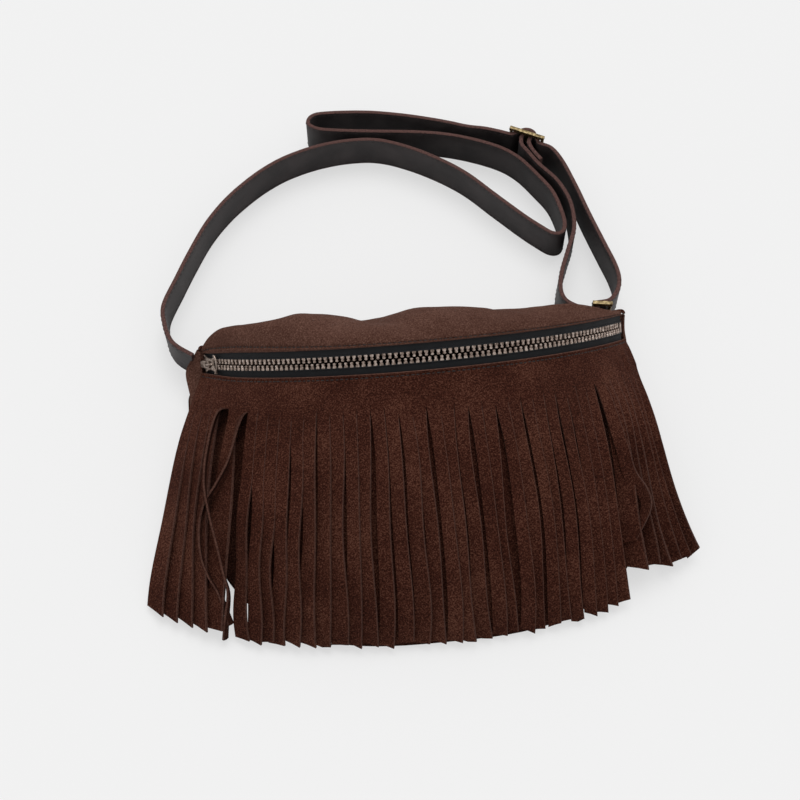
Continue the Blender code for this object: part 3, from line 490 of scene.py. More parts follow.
def strap_hide(name):
    """Vegetable-tanned strap leather, dyed near black and waxed: satin, with a fine pebbled grain."""
    mat, tree, shader, place = new_material(name)
    pebbles = add(tree, "ShaderNodeTexVoronoi", {"Vector": place, "Scale": 1 / 0.0011}, feature="F1")
    cloud = speckle(tree, place, 0.018, 4.0)
    height = weighed(tree, pebbles, 0.6, speckle(tree, place, 0.0005, 2.0))
    look = {"Base Color": tinted(tree, cloud, (0.35, "#231e1e"), (0.65, "#352f2f"))}
    look.update({"Normal": relief(tree, height, 0.25, 0.0003), "Specular IOR Level": 0.35})
    connect(tree, shader, {**look, "Roughness": rubbed(tree, cloud, 0.46, 0.62)})
    return mat


def raw_edge(name, dark, light):
    """Cut edge of the hide, left raw: matt and fibrous, lighter and redder than the dyed faces."""
    mat, tree, shader, place = new_material(name)
    fibre = speckle(tree, place, 0.0012, 4.0, 0.7)
    look = {"Base Color": tinted(tree, fibre, (0.36, dark), (0.62, light))}
    look.update({"Normal": relief(tree, fibre, 0.6, 0.0004), "Roughness": 0.9, "Specular IOR Level": 0.2})
    connect(tree, shader, look)
    return mat


def woven_tape(name):
    """Polyester zip tape, woven in a fine herringbone twill: near black, with a faint thread sheen."""
    mat, tree, shader, _ = new_material(name)
    weave = add(tree, "ShaderNodeUVMap", {}, uv_map="weave")
    # Threads lie 0.9 mm apart, coarser than the real 0.5 mm so that they show
    warp = threads(tree, weave, 0.0009, 0.6, "DIAGONAL")
    weft = threads(tree, weave, 0.0009, 0.3, "X")
    cloth = weighed(tree, warp, weft)
    look = {"Base Color": tinted(tree, cloth, (0.0, "#0d0e10"), (0.8, "#1f2125"))}
    look.update({"Normal": relief(tree, cloth, 0.6, 0.0003), "Roughness": 0.75, "Specular IOR Level": 0.3})
    connect(tree, shader, look)
    return mat


def antique_metal(name, hollow, body, worn, roughness):
    """Tumbled antique plating, mottled at random from dark patina to rubbed bright metal."""
    mat, tree, shader, place = new_material(name)
    patina = speckle(tree, place, 0.0022, 4.0, 0.6)
    look = {"Base Color": tinted(tree, patina, (0.30, hollow), (0.48, body), (0.66, worn)), "Metallic": 1.0}
    look["Roughness"] = rubbed(tree, patina, roughness + 0.12, roughness - 0.08)
    connect(tree, shader, {**look, "Normal": relief(tree, patina, 0.25, 0.0002)})
    return mat


def sewing_thread(name, dark, light):
    """Bonded nylon thread, twisted: fine slanted plies with a slight gloss."""
    mat, tree, shader, place = new_material(name)
    ply = threads(tree, place, 0.0005, 0.0, "DIAGONAL")
    connect(tree, shader, {"Base Color": tinted(tree, ply, (0.1, dark), (0.9, light)), "Roughness": 0.6})
    return mat


# Two copies of one suede: the top's is lighter and the front's darker, partly by the nap's lie and partly as
# painted light and painted shade
SUEDE_LIT_NAP_UP = brushed_suede("suede_nap_up_painted_light", "#3a221a", "#50352c", "#6d4f44", 0.08)
SUEDE_SHADED_NAP_DOWN = brushed_suede("suede_nap_down_painted_shade", "#1f0c07", "#391b12", "#5f3d30", 0.04)
SUEDE_EDGE = raw_edge("suede_cut_edge", "#3a2118", "#64463b")
STRIP_EDGE = raw_edge("suede_slit_edge", "#2e1710", "#55382e")
SUEDE_BACK = brushed_suede("suede_flesh_side", "#1c0c08", "#301810", "#45291f", 0.03)
STRAP_FACE = strap_hide("strap_waxed_hide")
STRAP_EDGE = raw_edge("strap_raw_edge", "#3c2a27", "#664944")
TAPE = woven_tape("zip_tape_twill")
TEETH = antique_metal("zip_antique_bronze", "#564a43", "#9d8b80", "#cfc0b6", 0.42)
SLIDER_METAL = antique_metal("slider_antique_nickel", "#5a4f47", "#8c7d73", "#b3a59b", 0.42)
BRASS = antique_metal("aged_brass", "#382e1a", "#75664a", "#9c8b68", 0.46)
SUEDE_THREAD = sewing_thread("suede_thread", "#120805", "#22120d")
STRAP_THREAD = sewing_thread("strap_thread", "#1c1414", "#352828")


# Mesh building


def into_scene(name, mesh, stands_for, body, sharp):
    """Make a mesh a visible piece, the solids it stands for and the body it rides on."""
    mesh.shade_smooth()
    mesh.set_sharp_from_angle(angle=math.radians(sharp))
    obj = bpy.data.objects.new(name, mesh)
    bpy.context.scene.collection.objects.link(obj)
    if stands_for:
        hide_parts(*stands_for)
    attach(obj, body)


def piece(name, points, faces, materials, stands_for=(), body="bag", uv=None, kinds=None, sharp=60):
    """A piece from points and faces; kinds gives each face's material, uv each point's place."""
    mesh = bpy.data.meshes.new(name)
    mesh.from_pydata([tuple(p) for p in points], [], faces)
    for mat in materials:
        mesh.materials.append(mat)
    if kinds:
        mesh.polygons.foreach_set("material_index", kinds)
    if uv:
        layer = mesh.uv_layers.new(name="weave")
        loops = np.zeros(len(mesh.loops), np.int32)
        mesh.loops.foreach_get("vertex_index", loops)
        layer.data.foreach_set("uv", np.array(uv, np.float32)[loops].ravel())
    bm = bmesh.new()
    bm.from_mesh(mesh)
    bmesh.ops.recalc_face_normals(bm, faces=bm.faces)
    bm.to_mesh(mesh)
    bm.free()
    into_scene(name, mesh, stands_for, body, sharp)


def rim_order(rows, cols):
    """Grid places round the border, each with its neighbour inside the border."""
    order = [((0, c), (1, c)) for c in range(cols)]
    order += [((r, cols - 1), (r, cols - 2)) for r in range(1, rows)]
    order += [((rows - 1, c), (rows - 2, c)) for c in range(cols - 2, -1, -1)]
    order += [((r, 0), (r, 1)) for r in range(rows - 2, 0, -1)]
    return order


def sheet(surface, shares, downs):
    """Rows of (point, normal) over a surface."""
    return [[surface(share, down) for share in shares] for down in downs]


def slab(outer, thick, edge_rows=0):
    """Points, faces and kinds of a sheet with rounded edges, from rows of (point, normal) of its outer face.

    Kind 1 is the rim and as many rows from the first edge as edge_rows; kind 0 is the rest.
    """
    rows = len(outer)
    cols = len(outer[0])
    points = [p for row in outer for p, _ in row]
    points += [p - n * thick for row in outer for p, n in row]
    below = rows * cols
    faces = []
    for r in range(rows - 1):
        for c in range(cols - 1):
            a = r * cols + c
            faces.append((a, a + 1, a + cols + 1, a + cols))
            faces.append((below + a, below + a + cols, below + a + cols + 1, below + a + 1))
    kinds = [1 if i < 2 * edge_rows * (cols - 1) else 0 for i in range(len(faces))]
    order = rim_order(rows, cols)
    first = len(points)
    for (r, c), (ri, ci) in order:
        p, n = outer[r][c]
        away = (p - outer[ri][ci][0]).normalized()
        points.append(p - n * thick / 2 + away * thick * 0.3)
    for i, ((r, c), _) in enumerate(order):
        j = (i + 1) % len(order)
        a = r * cols + c
        b = order[j][0][0] * cols + order[j][0][1]
        faces.append((a, first + i, first + j, b))
        faces.append((first + i, below + a, below + b, first + j))
    return points, faces, kinds + [1] * (len(faces) - len(kinds))


def ring_faces(count, rings):
    """Faces that join closed rings of points one after another, and then the two caps."""
    faces = []
    for first in range(0, (rings - 1) * count, count):
        for k in range(count):
            a = first + k
            b = first + (k + 1) % count
            faces.append((a, b, b + count, a + count))
    faces.append(tuple(range(count)))
    faces.append(tuple(range((rings - 1) * count, rings * count)))
    return faces


# Metres across and down a panel, for the widths of its folds
CREASE_SCALE = (0.19, 0.11)


def crease(share, down, ends, height, width):
    """A fold along a line between two places on a panel, given as (share, down) pairs."""
    p, a, b = (np.array(place) * CREASE_SCALE for place in ((share, down), *ends))
    t = float(np.clip(np.dot(p - a, b - a) / np.dot(b - a, b - a), 0.0, 1.0))
    away = float(np.linalg.norm(p - (a + t * (b - a))))
    return height * bell(away, width) * math.sin(math.pi * mix(0.12, 0.88, t))


# Soft folds of the top panel as seen in the photograph: two ends, height and width
TOP_CREASES = (
    (((-0.27, 0.75), (0.03, 0.12)), -0.0030, 0.0085),
    (((-0.10, 0.75), (0.14, 0.15)), 0.0016, 0.0100),
    (((-0.80, 0.30), (-0.62, 0.10)), -0.0011, 0.0050),
    (((-0.55, 0.60), (-0.40, 0.15)), 0.0010, 0.0110),
    (((0.30, 0.70), (0.52, 0.20)), -0.0013, 0.0070),
    (((0.58, 0.42), (0.93, 0.13)), 0.0016, 0.0034),
    (((0.62, 0.60), (0.95, 0.28)), -0.0014, 0.0050),
)


def seam_relief(along, inset):
    """Height of the suede beside a topstitched edge: the stitches pull a groove and small puckers."""
    groove = -0.0008 * bell(inset - STITCH_INSET, 0.0010)
    wave = math.cos(2.0 * math.pi * along / (2.4 * STITCH_PITCH))
    pucker = 0.0003 * wave * bell(inset - STITCH_INSET, 0.0035)
    roll = 0.0006 * bell(inset - 0.0012, 0.0011)
    return groove + pucker + roll


def mouth_lip(share, inset):
    """How far a suede edge reaches over the tape where the mouth narrows to the slider."""
    return ZIP_ACROSS * (MOUTH_LIP * smooth((-share - 0.72) / 0.28) * (1.0 - smooth(inset / 0.020)))


def suede_swell(place, amount):
    """Slow unevenness of soft suede, from a few millimetres to a few centimetres across."""
    return amount * (noise.noise(place / 0.030) + 0.35 * noise.noise(place / 0.011))


def top_surface(share, down):
    """Outer face of the top panel with its folds, stitched edge and uneven lie."""
    base = top_point(share, down)
    normal = facing(top_point, share, down, 1.0)
    inset = down * TOP_DEPTH
    free = smooth(down * 9.0) * smooth((1.0 - down) * 5.0) * smooth((1.0 - abs(share)) * 9.0)
    lift = sum(crease(share, down, *fold) for fold in TOP_CREASES)
    lift = (lift + suede_swell(base, 0.0009)) * free
    lift += seam_relief(zip_angle(share) * ZIP_RADIUS, inset)
    return base + normal * lift - mouth_lip(share, inset), normal


def top_panel():
    """The plump suede panel behind the zip."""
    shares = spaced(-1.0, 1.0, 260)
    downs = [0.0, 0.006, 0.012, 0.018, 0.024, 0.030, 0.037, 0.045, 0.055, 0.07, *spaced(0.09, 1.0, 46)]
    outer = sheet(top_surface, shares, downs)
    # The first rows stand square to the zip, so that the cut edge does too
    for row in outer[:5]:
        row[:] = [(p, zip_outward(zip_angle(share))) for share, (p, _) in zip(shares, row)]
    points, faces, kinds = slab(outer, SUEDE, 1)
    piece("top_panel_suede", points, faces, [SUEDE_LIT_NAP_UP, SUEDE_EDGE], ["top_panel"], kinds=kinds)


def front_surface(share, down):
    base = front_point(share, down)
    normal = facing(front_point, share, down, -1.0)
    free = smooth(down * 8.0) * smooth((1.0 - down) * 6.0) * smooth((1.0 - abs(share)) * 9.0)
    return base + normal * min(0.0, suede_swell(base, 0.0004)) * free, normal


def front_panel():
    """The body's front, seen between the strips and past their tips."""
    outer = sheet(front_surface, spaced(-1.0, 1.0, 150), spaced(0.0, 1.0, 44))
    points, faces, _ = slab(outer, SUEDE)
    piece("front_panel_suede", points, faces, [SUEDE_SHADED_NAP_DOWN], ["front_panel"])


def end_surface(side, share, down):
    """Outer face of an end panel; its wall leans away from a point inside the bag."""

    def smooth_end(u, v):
        return end_point(side, u, v)

    base = smooth_end(share, down)
    normal = facing(smooth_end, share, down, float(-side))
    free = smooth(down * 7.0) * smooth((1.0 - down) * 4.0) * smooth(share * 8.0) * smooth((1.0 - share) * 8.0)
    inside = Vector((side * END_INSIDE[0], END_INSIDE[1], END_INSIDE[2]))
    lean = (normal + END_LEAN * (base - inside).normalized()).normalized()
    return base + lean * (suede_swell(base, 0.0006) * free), lean


def end_panels():
    shares = spaced(0.02, 0.98, 48)
    for side, name in ((-1, "left_end_panel"), (1, "right_end_panel")):
        outer = [[end_surface(side, share, down) for share in shares] for down in spaced(0.0, 1.0, 40)]
        points, faces, _ = slab(outer, SUEDE)
        # The end panels take the top's lighter suede: painted light over their steep walls, which would fall
        # into shade
        piece(name + "_suede", points, faces, [SUEDE_LIT_NAP_UP], [name])


def tube(path, radius, sides=8):
    """Points and faces of a round cord along a path, closed at both ends."""
    points = []
    for i, place in enumerate(path):
        ahead = (path[min(i + 1, len(path) - 1)] - path[max(i - 1, 0)]).normalized()
        side = ahead.cross(Vector((0.0, 0.0, 1.0)))
        side = side.normalized() if side.length > 1e-4 else Vector((1.0, 0.0, 0.0))
        up = side.cross(ahead)
        for k in range(sides):
            turn = 2.0 * math.pi * k / sides
            points.append(place + radius * (math.cos(turn) * side + math.sin(turn) * up))
    return points, ring_faces(sides, len(path))


def gather(parts):
    """Several (points, faces) joined into one mesh's points and faces."""
    points = []
    faces = []
    for more_points, more_faces in parts:
        shift = len(points)
        points += more_points
        faces += [tuple(i + shift for i in face) for face in more_faces]
    return points, faces


# Rings of points round the back's turned edge: how far in from its outline, and how high
BACK_RINGS = (
    (0.012, 0.0), (0.0009, 0.0), (0.0, 0.0006), (0.0, 0.0014), (0.0009, BACK_THICK), (0.012, BACK_THICK)
)


def back_and_seams():
    """The flat back with its turned edge, and the corded seams where the end panels meet the rest."""
    middle = Vector((0.0, (BACK_TOP_Y + BACK_BOTTOM_Y) / 2, 0.0))
    outer = []
    for turn in spaced(0.0, 2.0 * math.pi, 160)[:-1]:
        flat = Vector((*outline_point(turn), 0.0))
        outer.append(flat + (flat - middle).normalized() * BACK_SEAM)
    points = []
    for inset, height in BACK_RINGS:
        lift = Vector((0.0, 0.0, height))
        points += [mix(p, middle, inset / (p - middle).length) + lift for p in outer]
    faces = ring_faces(len(outer), len(BACK_RINGS))
    piece("back_panel_suede", points, faces, [SUEDE_BACK], ["back_panel"])
    cords = []
    for side in (-1, 1):
        for curve in (front_curve, top_curve):
            past = Vector((side * END_SET_OFF / 2, 0.0, 0.0))
            path = [bezier(curve(side), down) + past * (1.0 - down) for down in spaced(0.03, 0.99, 40)]
            cords.append(tube(path, 0.0013))
    points, faces = gather(cords)
    piece("end_seams_corded", points, faces, [SUEDE_SHADED_NAP_DOWN], sharp=80)


# Strips that leave the row: width, then share across, share of the way down, lift and twist in degrees
STRAYS = {
    4: (0.0058, (
        (-0.786, 0.14, 0.0, 0), (-0.802, 0.20, 0.004, 50), (-0.800, 0.30, 0.008, 65),
        (-0.785, 0.42, 0.010, 70), (-0.750, 0.52, 0.010, 70), (-0.710, 0.625, 0.009, 65),
        (-0.680, 0.715, 0.008, 72), (-0.660, 0.79, 0.006, 85), (-0.668, 0.90, 0.004, 100),
        (-0.675, 1.0, 0.002, 110),
    )),
    6: (0.0058, (
        (-0.690, 0.14, 0.0, 0), (-0.695, 0.23, 0.003, 30), (-0.704, 0.325, 0.006, 60),
        (-0.740, 0.415, 0.007, 70), (-0.785, 0.49, 0.007, 60), (-0.796, 0.575, 0.007, 55),
        (-0.778, 0.67, 0.006, 65), (-0.740, 0.74, 0.005, 75), (-0.695, 0.80, 0.004, 90),
        (-0.655, 0.92, 0.002, 110),
    )),
    35: (0.0098, (
        (0.690, 0.17, 0.0, 0), (0.700, 0.25, 0.002, 15), (0.705, 0.40, 0.004, 35),
        (0.702, 0.50, 0.006, 52), (0.715, 0.565, 0.011, 66), (0.725, 0.615, 0.012, 74),
        (0.712, 0.655, 0.010, 70), (0.676, 0.70, 0.005, 55), (0.645, 0.735, 0.002, 40),
    )),
}
# How far down some strips still lie closed against their neighbours
CLOSED = {7: 0.30, 8: 0.32, 9: 0.34, 10: 0.30, 11: 0.12, 31: 0.10}

# How much higher than the rest some tips end, as shares of the way down, and how much each one varies
LEFT_TIPS_HIGHER = 0.030
RIGHT_TIPS_HIGHER = (0.135, 0.055)
LAST_TIPS_STEP = 0.006
TIP_VARIES = 0.012

# Sideways lean of whole groups, in strips
INNER_BOW = 0.5
MAIN_LEFT_LEAN = 0.15
MAIN_RIGHT_LEAN = 0.11
RIGHT_FAN = 1.75
RIGHT_FAN_STEP = 0.33

# How much wider than their slits are apart the strips are drawn, so that the fans show no gaps
TIP_WIDER = 0.10
LEFT_TIP_WIDER = 0.26
LEFT_WIDER = 1.5
LEFT_WIDER_STEP = 0.15
INNER_WIDER = 2.2
RIGHT_WIDER = 1.5
OUTER_RIGHT_WIDER = 1.15
MAIN_RIGHT_NARROWER = 0.89


def through(before, start, end, after, part):
    """A smooth way from start to end, past the points on either side of them."""
    bend = part * (3 * (start - end) + after - before)
    return start + 0.5 * part * (end - before + part * (2 * before - 5 * start + 4 * end - after + bend))


def way_at(way, t):
    """Read a stray strip's way at a share of its length."""
    place = t * (len(way) - 1)
    i = min(int(place), len(way) - 2)
    near = (way[max(i - 1, 0)], way[i], way[i + 1], way[min(i + 2, len(way) - 1)])
    return tuple(through(*values, place - i) for values in zip(*near))


def strip_end(number, across):
    """How far down its curve a strip's cut tip lies; few were cut square, and the side groups end higher."""
    last = 1.0 - TIP_VARIES * (1.0 + wobble(number, 2)) + TIP_SLANT * wobble(number, 10) * across
    if number > LAST_MAIN_STRIP:
        part = (number - LAST_MAIN_STRIP - 1) / (STRIPS - LAST_MAIN_STRIP - 2)
        last -= mix(*RIGHT_TIPS_HIGHER, part)
    elif number < FIRST_MAIN_STRIP - 1:
        last -= LEFT_TIPS_HIGHER
    elif number > LAST_MAIN_STRIP - 5:
        last -= LAST_TIPS_STEP * (number - LAST_MAIN_STRIP + 5)
    return last


def group_lean(number, t):
    """How far a strip's group carries it sideways, in strips: the side groups fan out from the middle one."""
    if number < FIRST_MAIN_STRIP - 3:
        return LEFT_FAN * number * smooth(t * 1.3)
    if number < FIRST_MAIN_STRIP:
        return INNER_BOW * math.sin(math.pi * t)
    if number < FIRST_MAIN_STRIP + 4:
        return MAIN_LEFT_LEAN * (FIRST_MAIN_STRIP + 4 - number) * smooth(t)
    if number > LAST_MAIN_STRIP:
        past = number - LAST_MAIN_STRIP
        tuck = SIDE_TUCK * math.sin(math.pi * t) * past / (STRIPS - LAST_MAIN_STRIP)
        return -tuck - (RIGHT_FAN - RIGHT_FAN_STEP * (past - 1)) * smooth(t * 1.2)
    return -MAIN_RIGHT_LEAN * max(0, number - LAST_MAIN_STRIP + 13) * smooth(t)


def strip_widening(number, t):
    """How many times its cut width a strip is drawn: more towards its tip and in the side groups."""
    wider = LEFT_TIP_WIDER if FIRST_MAIN_STRIP <= number < FIRST_MAIN_STRIP + 6 else TIP_WIDER
    width = 1.0 + wider * smooth((t - 0.5) / 0.4)
    if number < FIRST_MAIN_STRIP:
        full = INNER_WIDER if number > FIRST_MAIN_STRIP - 3 else LEFT_WIDER + LEFT_WIDER_STEP * number
        return width * mix(1.0, full, smooth(t * 2.2))
    if number > LAST_MAIN_STRIP:
        return width * (RIGHT_WIDER if number < LAST_MAIN_STRIP + 4 else OUTER_RIGHT_WIDER)
    return width * (MAIN_RIGHT_NARROWER if number > LAST_MAIN_STRIP - 13 else 1.0)


def row_place(number, t, loose, across, slit_down):
    """Share, way down and lift of a strip that stays in the row, each with its own small bends."""
    lean = STRIP_LEAN * wobble(number, 1) * smooth(loose) + group_lean(number, t)
    lean += STRIP_BOW * wobble(number, 6) * math.sin(math.pi * loose)
    lean += STRIP_WAVE * wobble(number, 7) * math.sin(3.0 * math.pi * loose)
    lift = STRIP_LIFT + STRIP_LIFT_VARIES * (1.0 + wobble(number, 3))
    lift += STRIP_LIFT * wobble(number, 8) * math.sin(2.0 * math.pi * t)
    down = mix(slit_down, strip_end(number, across), t)
    return -1.0 + STRIP_PITCH * (number + 0.5 + lean), down, lift * smooth(loose * 2.0)


def strip_point(number, t, across, slit_down):
    """Middle-face point and normal of a strip: t from slit to tip, across from -1 to 1."""
    shut = CLOSED.get(number, 0.0)
    loose = max(0.0, (t - shut) / (1.0 - shut))
    stray = STRAYS.get(number)
    if stray:
        share, down, lift, degrees = way_at(stray[1], t)
        down = mix(slit_down, down, smooth(t * 4.0)) + STRAY_TIP_SLANT * wobble(number, 10) * across * t
    else:
        share, down, lift = row_place(number, t, loose, across, slit_down)
    low = fringe_point(share - STRIP_PITCH / 4, down)
    high = fringe_point(share + STRIP_PITCH / 4, down)
    spacing = 2.0 * (high - low).length
    sideways = (high - low).normalized()
    normal = facing(fringe_point, min(0.998, max(-0.998, share)), down, -1.0)
    if stray:
        twist = math.radians(degrees)
        half = mix(STRIP_WIDTH, stray[0], smooth(t * 4.0)) / 2
    else:
        # Each strip leans on the next, so that its right edge lies over its neighbour's left one
        step = FRINGE_SHINGLE * (RIGHT_SHINGLE if number > LAST_MAIN_STRIP else 1.0)
        twist = math.atan(step / spacing) * smooth(loose * 2.2) * (1.0 + SHINGLE_VARIES * wobble(number, 5))
        half = max(STRIP_WIDTH, spacing * STRIP_OVERLAP) * (1.0 + STRIP_WIDTH_VARIES * wobble(number, 9)) / 2
        half *= strip_widening(number, t)
    half = mix(spacing / 2 - FRINGE_SLIT / 2, half, smooth(loose * 6.0))
    across_way = math.cos(twist) * sideways + math.sin(twist) * normal
    out = math.cos(twist) * normal - math.sin(twist) * sideways
    curl = STRIP_CURL * (across * across - 0.4) * smooth(loose * 2.0)
    middle = fringe_point(share, down) + normal * (FRINGE_THICK / 2 + lift)
    return middle + across_way * (half * across) + out * curl, out


def band_point(share, down):
    """Middle-face point and normal of the fringe's solid band, with its stitched edge."""
    base = fringe_point(share, down)
    normal = facing(fringe_point, share, down, -1.0)
    inset = down * FRINGE_LENGTH
    lift = seam_relief(zip_angle(share) * ZIP_RADIUS, inset)
    pleat = 0.0007 * math.sin(share * 95.0 + 1.0) * smooth((abs(share) - 0.80) * 8.0) * smooth(down * 10.0)
    lift += pleat + suede_swell(base, 0.0004) * smooth(down * 12.0)
    return base + normal * (FRINGE_THICK / 2 + lift) + mouth_lip(share, inset), normal


# Columns of points across one strip; the narrow outer ones carry the cut edges
STRIP_COLUMNS = (-1.0, -0.88, 0.0, 0.88, 1.0)
# How much of a strip's share of the band its columns take up above the slits
BAND_SHARE = 0.985
# Rows of points down the band, as shares of its depth, and how many steps there are down a strip
BAND_ROWS = (0.0, 0.025, 0.05, 0.075, 0.10, 0.13, 0.17, 0.22, 0.30, 0.42, 0.54, 0.66, 0.78, 0.90)
STRIP_STEPS = 48


def fringe():
    """Band and strips as one cut piece, with five columns of points for each strip."""
    columns = []
    for number in range(STRIPS):
        for across in STRIP_COLUMNS:
            share = -1.0 + STRIP_PITCH * (number + 0.5 + across / 2 * BAND_SHARE)
            slit_down = mix(slit_start(number), slit_start(number + 1), (across + 1.0) / 2.0)
            column = [band_point(share, slit_down * row) for row in BAND_ROWS]
            for step in range(STRIP_STEPS + 1):
                column.append(strip_point(number, step / STRIP_STEPS, across, slit_down))
            columns.append(column)
    points, faces, kinds = cut_sheet(columns, len(STRIP_COLUMNS), len(BAND_ROWS), FRINGE_THICK)
    # The strips take the front's darker suede, partly painted shade
    mats = [SUEDE_SHADED_NAP_DOWN, SUEDE_EDGE, SUEDE_BACK, STRIP_EDGE]
    piece("fringe_suede", points, faces, mats, ["fringe_panel"], kinds=kinds, sharp=50)


def slit_start(boundary):
    """How far down the fringe a slit starts: each one was cut by eye, a little on from the last."""
    return (FRINGE_BAND + FRINGE_SLIT_STAGGER * wobble(boundary, 4)) / FRINGE_LENGTH


def cut_sheet(columns, wide, band_rows, thick):
    """Points, faces and face kinds of a sheet that is cut into strips below its band."""
    length = len(columns[0])
    points = []
    for column in columns:
        points += [p + n * thick / 2 for p, n in column]
        points += [p - n * thick / 2 for p, n in column]
    faces = []
    kinds = []

    def face(kind, *corners):
        faces.append(corners)
        kinds.append(kind)

    for c in range(len(columns) - 1):
        top = c * 2 * length
        low = top + length
        top_next = top + 2 * length
        low_next = low + 2 * length
        last = band_rows if (c + 1) % wide == 0 else length - 1
        for r in range(last):
            rubbed = r == 0 or (r > band_rows and (c + 2) % wide == 0)
            face((1 if r == 0 else 3) if rubbed else 0, top + r, top_next + r, top_next + r + 1, top + r + 1)
            face(2, low + r, low + r + 1, low_next + r + 1, low_next + r)
        face(1, top, low, low_next, top_next)
        face(3, top + last, top_next + last, low_next + last, low + last)
    for c in range(len(columns)):
        outermost = c in (0, len(columns) - 1)
        if c % wide not in (0, wide - 1):
            continue
        top = c * 2 * length
        low = top + length
        for r in range(0 if outermost else band_rows, length - 1):
            face(3, top + r, top + r + 1, low + r + 1, low + r)
    return points, faces, kinds


def stitch_row(places, radius, length):
    """Short round stitches, each from (point, way along, normal), sunk a little at both ends."""
    parts = []
    for place, along, normal in places:
        path = []
        for share in (-0.5, -0.32, 0.0, 0.32, 0.5):
            sink = -1.2 * radius * (2.0 * abs(share)) ** 4
            path.append(place + along * (share * length) + normal * (sink + 0.25 * radius))
        parts.append(tube(path, radius, 6))
    return gather(parts)


def zip_stitches():
    """Topstitching of both suede edges along the zip."""
    count = int((ZIP_RIGHT_END - ZIP_LEFT_END) * ZIP_RADIUS / STITCH_PITCH)
    for name, surface, length, half in (
        ("top_panel_stitches", top_surface, TOP_DEPTH, 0.0),
        ("fringe_stitches", band_point, FRINGE_LENGTH, FRINGE_THICK / 2),
    ):
        down = STITCH_INSET / length
        places = []
        for i in range(1, count):
            share = mix(-1.0, 1.0, i / count)
            here, normal = surface(share, down)
            ahead, _ = surface(min(1.0, share + 0.004), down)
            places.append((here + normal * half, (ahead - here).normalized(), normal))
        points, faces = stitch_row(places, THREAD_RADIUS, STITCH_LENGTH)
        piece(name, points, faces, [SUEDE_THREAD], sharp=80)


# Zip


def zip_tapes():
    """Both tapes with their woven face and the cord that the teeth are clamped on."""
    angles = spaced(ZIP_LEFT_END, ZIP_RIGHT_END, 240)
    lanes = spaced(TAPE_INNER - 0.0001, TAPE_OUTER, 6)
    weave = [[(angle * ZIP_RADIUS, lane) for lane in lanes] for angle in angles]
    uv = 2 * [place for row in weave for place in row]
    uv += [weave[r][c] for (r, c), _ in rim_order(len(angles), len(lanes))]
    uv += [(angle * ZIP_RADIUS, TOOTH_REACH) for angle in angles for _ in range(8)]
    for side, name in ((-1, "zip_tape_lower"), (1, "zip_tape_upper")):
        outer = []
        for angle in angles:
            out = TAPE_THICK / 2 + 0.00012 * math.sin(angle * 61.0 + side)
            outer.append([(zip_point(angle, side * lane, out), zip_outward(angle)) for lane in lanes])
        points, faces, _ = slab(outer, TAPE_THICK)
        cord = tube([zip_point(angle, side * (TOOTH_REACH + 0.0002), 0.0005) for angle in angles], 0.0008)
        points, faces = gather([(points, faces), cord])
        piece(name + "_woven", points, faces, [TAPE], [name], uv=uv)


def levels(outline, steps):
    """A solid from an outline (x, y) at several heights, each (height, drawn in by)."""
    middle = np.mean(np.array(outline), axis=0)
    points = []
    for height, inset in steps:
        for x, y in outline:
            away = np.array((x, y)) - middle
            reach = max(np.linalg.norm(away), 1e-6)
            x2, y2 = middle + away * max(0.0, reach - inset) / reach
            points.append(Vector((x2, y2, height)))
    return points, ring_faces(len(outline), len(steps))


def set_on_zip(parts, angle):
    """Parts in the zip's frame, placed at an angle on its arc."""
    place = zip_frame(angle)
    return [([place @ p for p in points], faces) for points, faces in parts]


# Half of a tooth's plan in millimetres, from its clamped legs to its head: (along, across)
TOOTH_PLAN = (
    (1.30, -4.3), (1.48, -3.9), (1.46, -3.0), (1.20, -2.5), (0.95, -2.15), (0.95, -1.75),
    (1.22, -1.35), (1.28, -0.95), (0.95, -0.45), (0.45, -0.22),
)
# Heights of a tooth's rounded edges, each with how far the plan is drawn in there
TOOTH_STEPS = (
    (-TOOTH_HALF_THICK + 0.0003, 0.0003),
    (-TOOTH_HALF_THICK + 0.0005, 0.0),
    (TOOTH_HALF_THICK - 0.0006, 0.0),
    (TOOTH_HALF_THICK - 0.00015, 0.0002),
    (TOOTH_HALF_THICK, 0.0005),
)


def zip_teeth():
    """Both rows of stamped teeth, each clamped on its tape, heads turned to the middle."""
    start = SLIDER_ANGLE + (SLIDER_WEB_LENGTH + TEETH_CLEAR - SLIDER_LENGTH / 2) / ZIP_RADIUS
    end = ZIP_RIGHT_END - (STOP_LENGTH + TEETH_CLEAR) / ZIP_RADIUS
    right = [(x * 0.001, y * 0.001) for x, y in TOOTH_PLAN]
    outline = right + [(-x, y) for x, y in reversed(right)]
    for side, name in ((-1, "zip_teeth_lower"), (1, "zip_teeth_upper")):
        tooth = levels([(x, -side * y) for x, y in outline], TOOTH_STEPS)
        parts = []
        angle = start + (TOOTH_PITCH / 2 / ZIP_RADIUS if side > 0 else 0.0)
        while angle < end:
            parts += set_on_zip([tooth], angle)
            angle += TOOTH_PITCH / ZIP_RADIUS
        points, faces = gather(parts)
        piece(name + "_stamped", points, faces, [TEETH], [name], sharp=35)


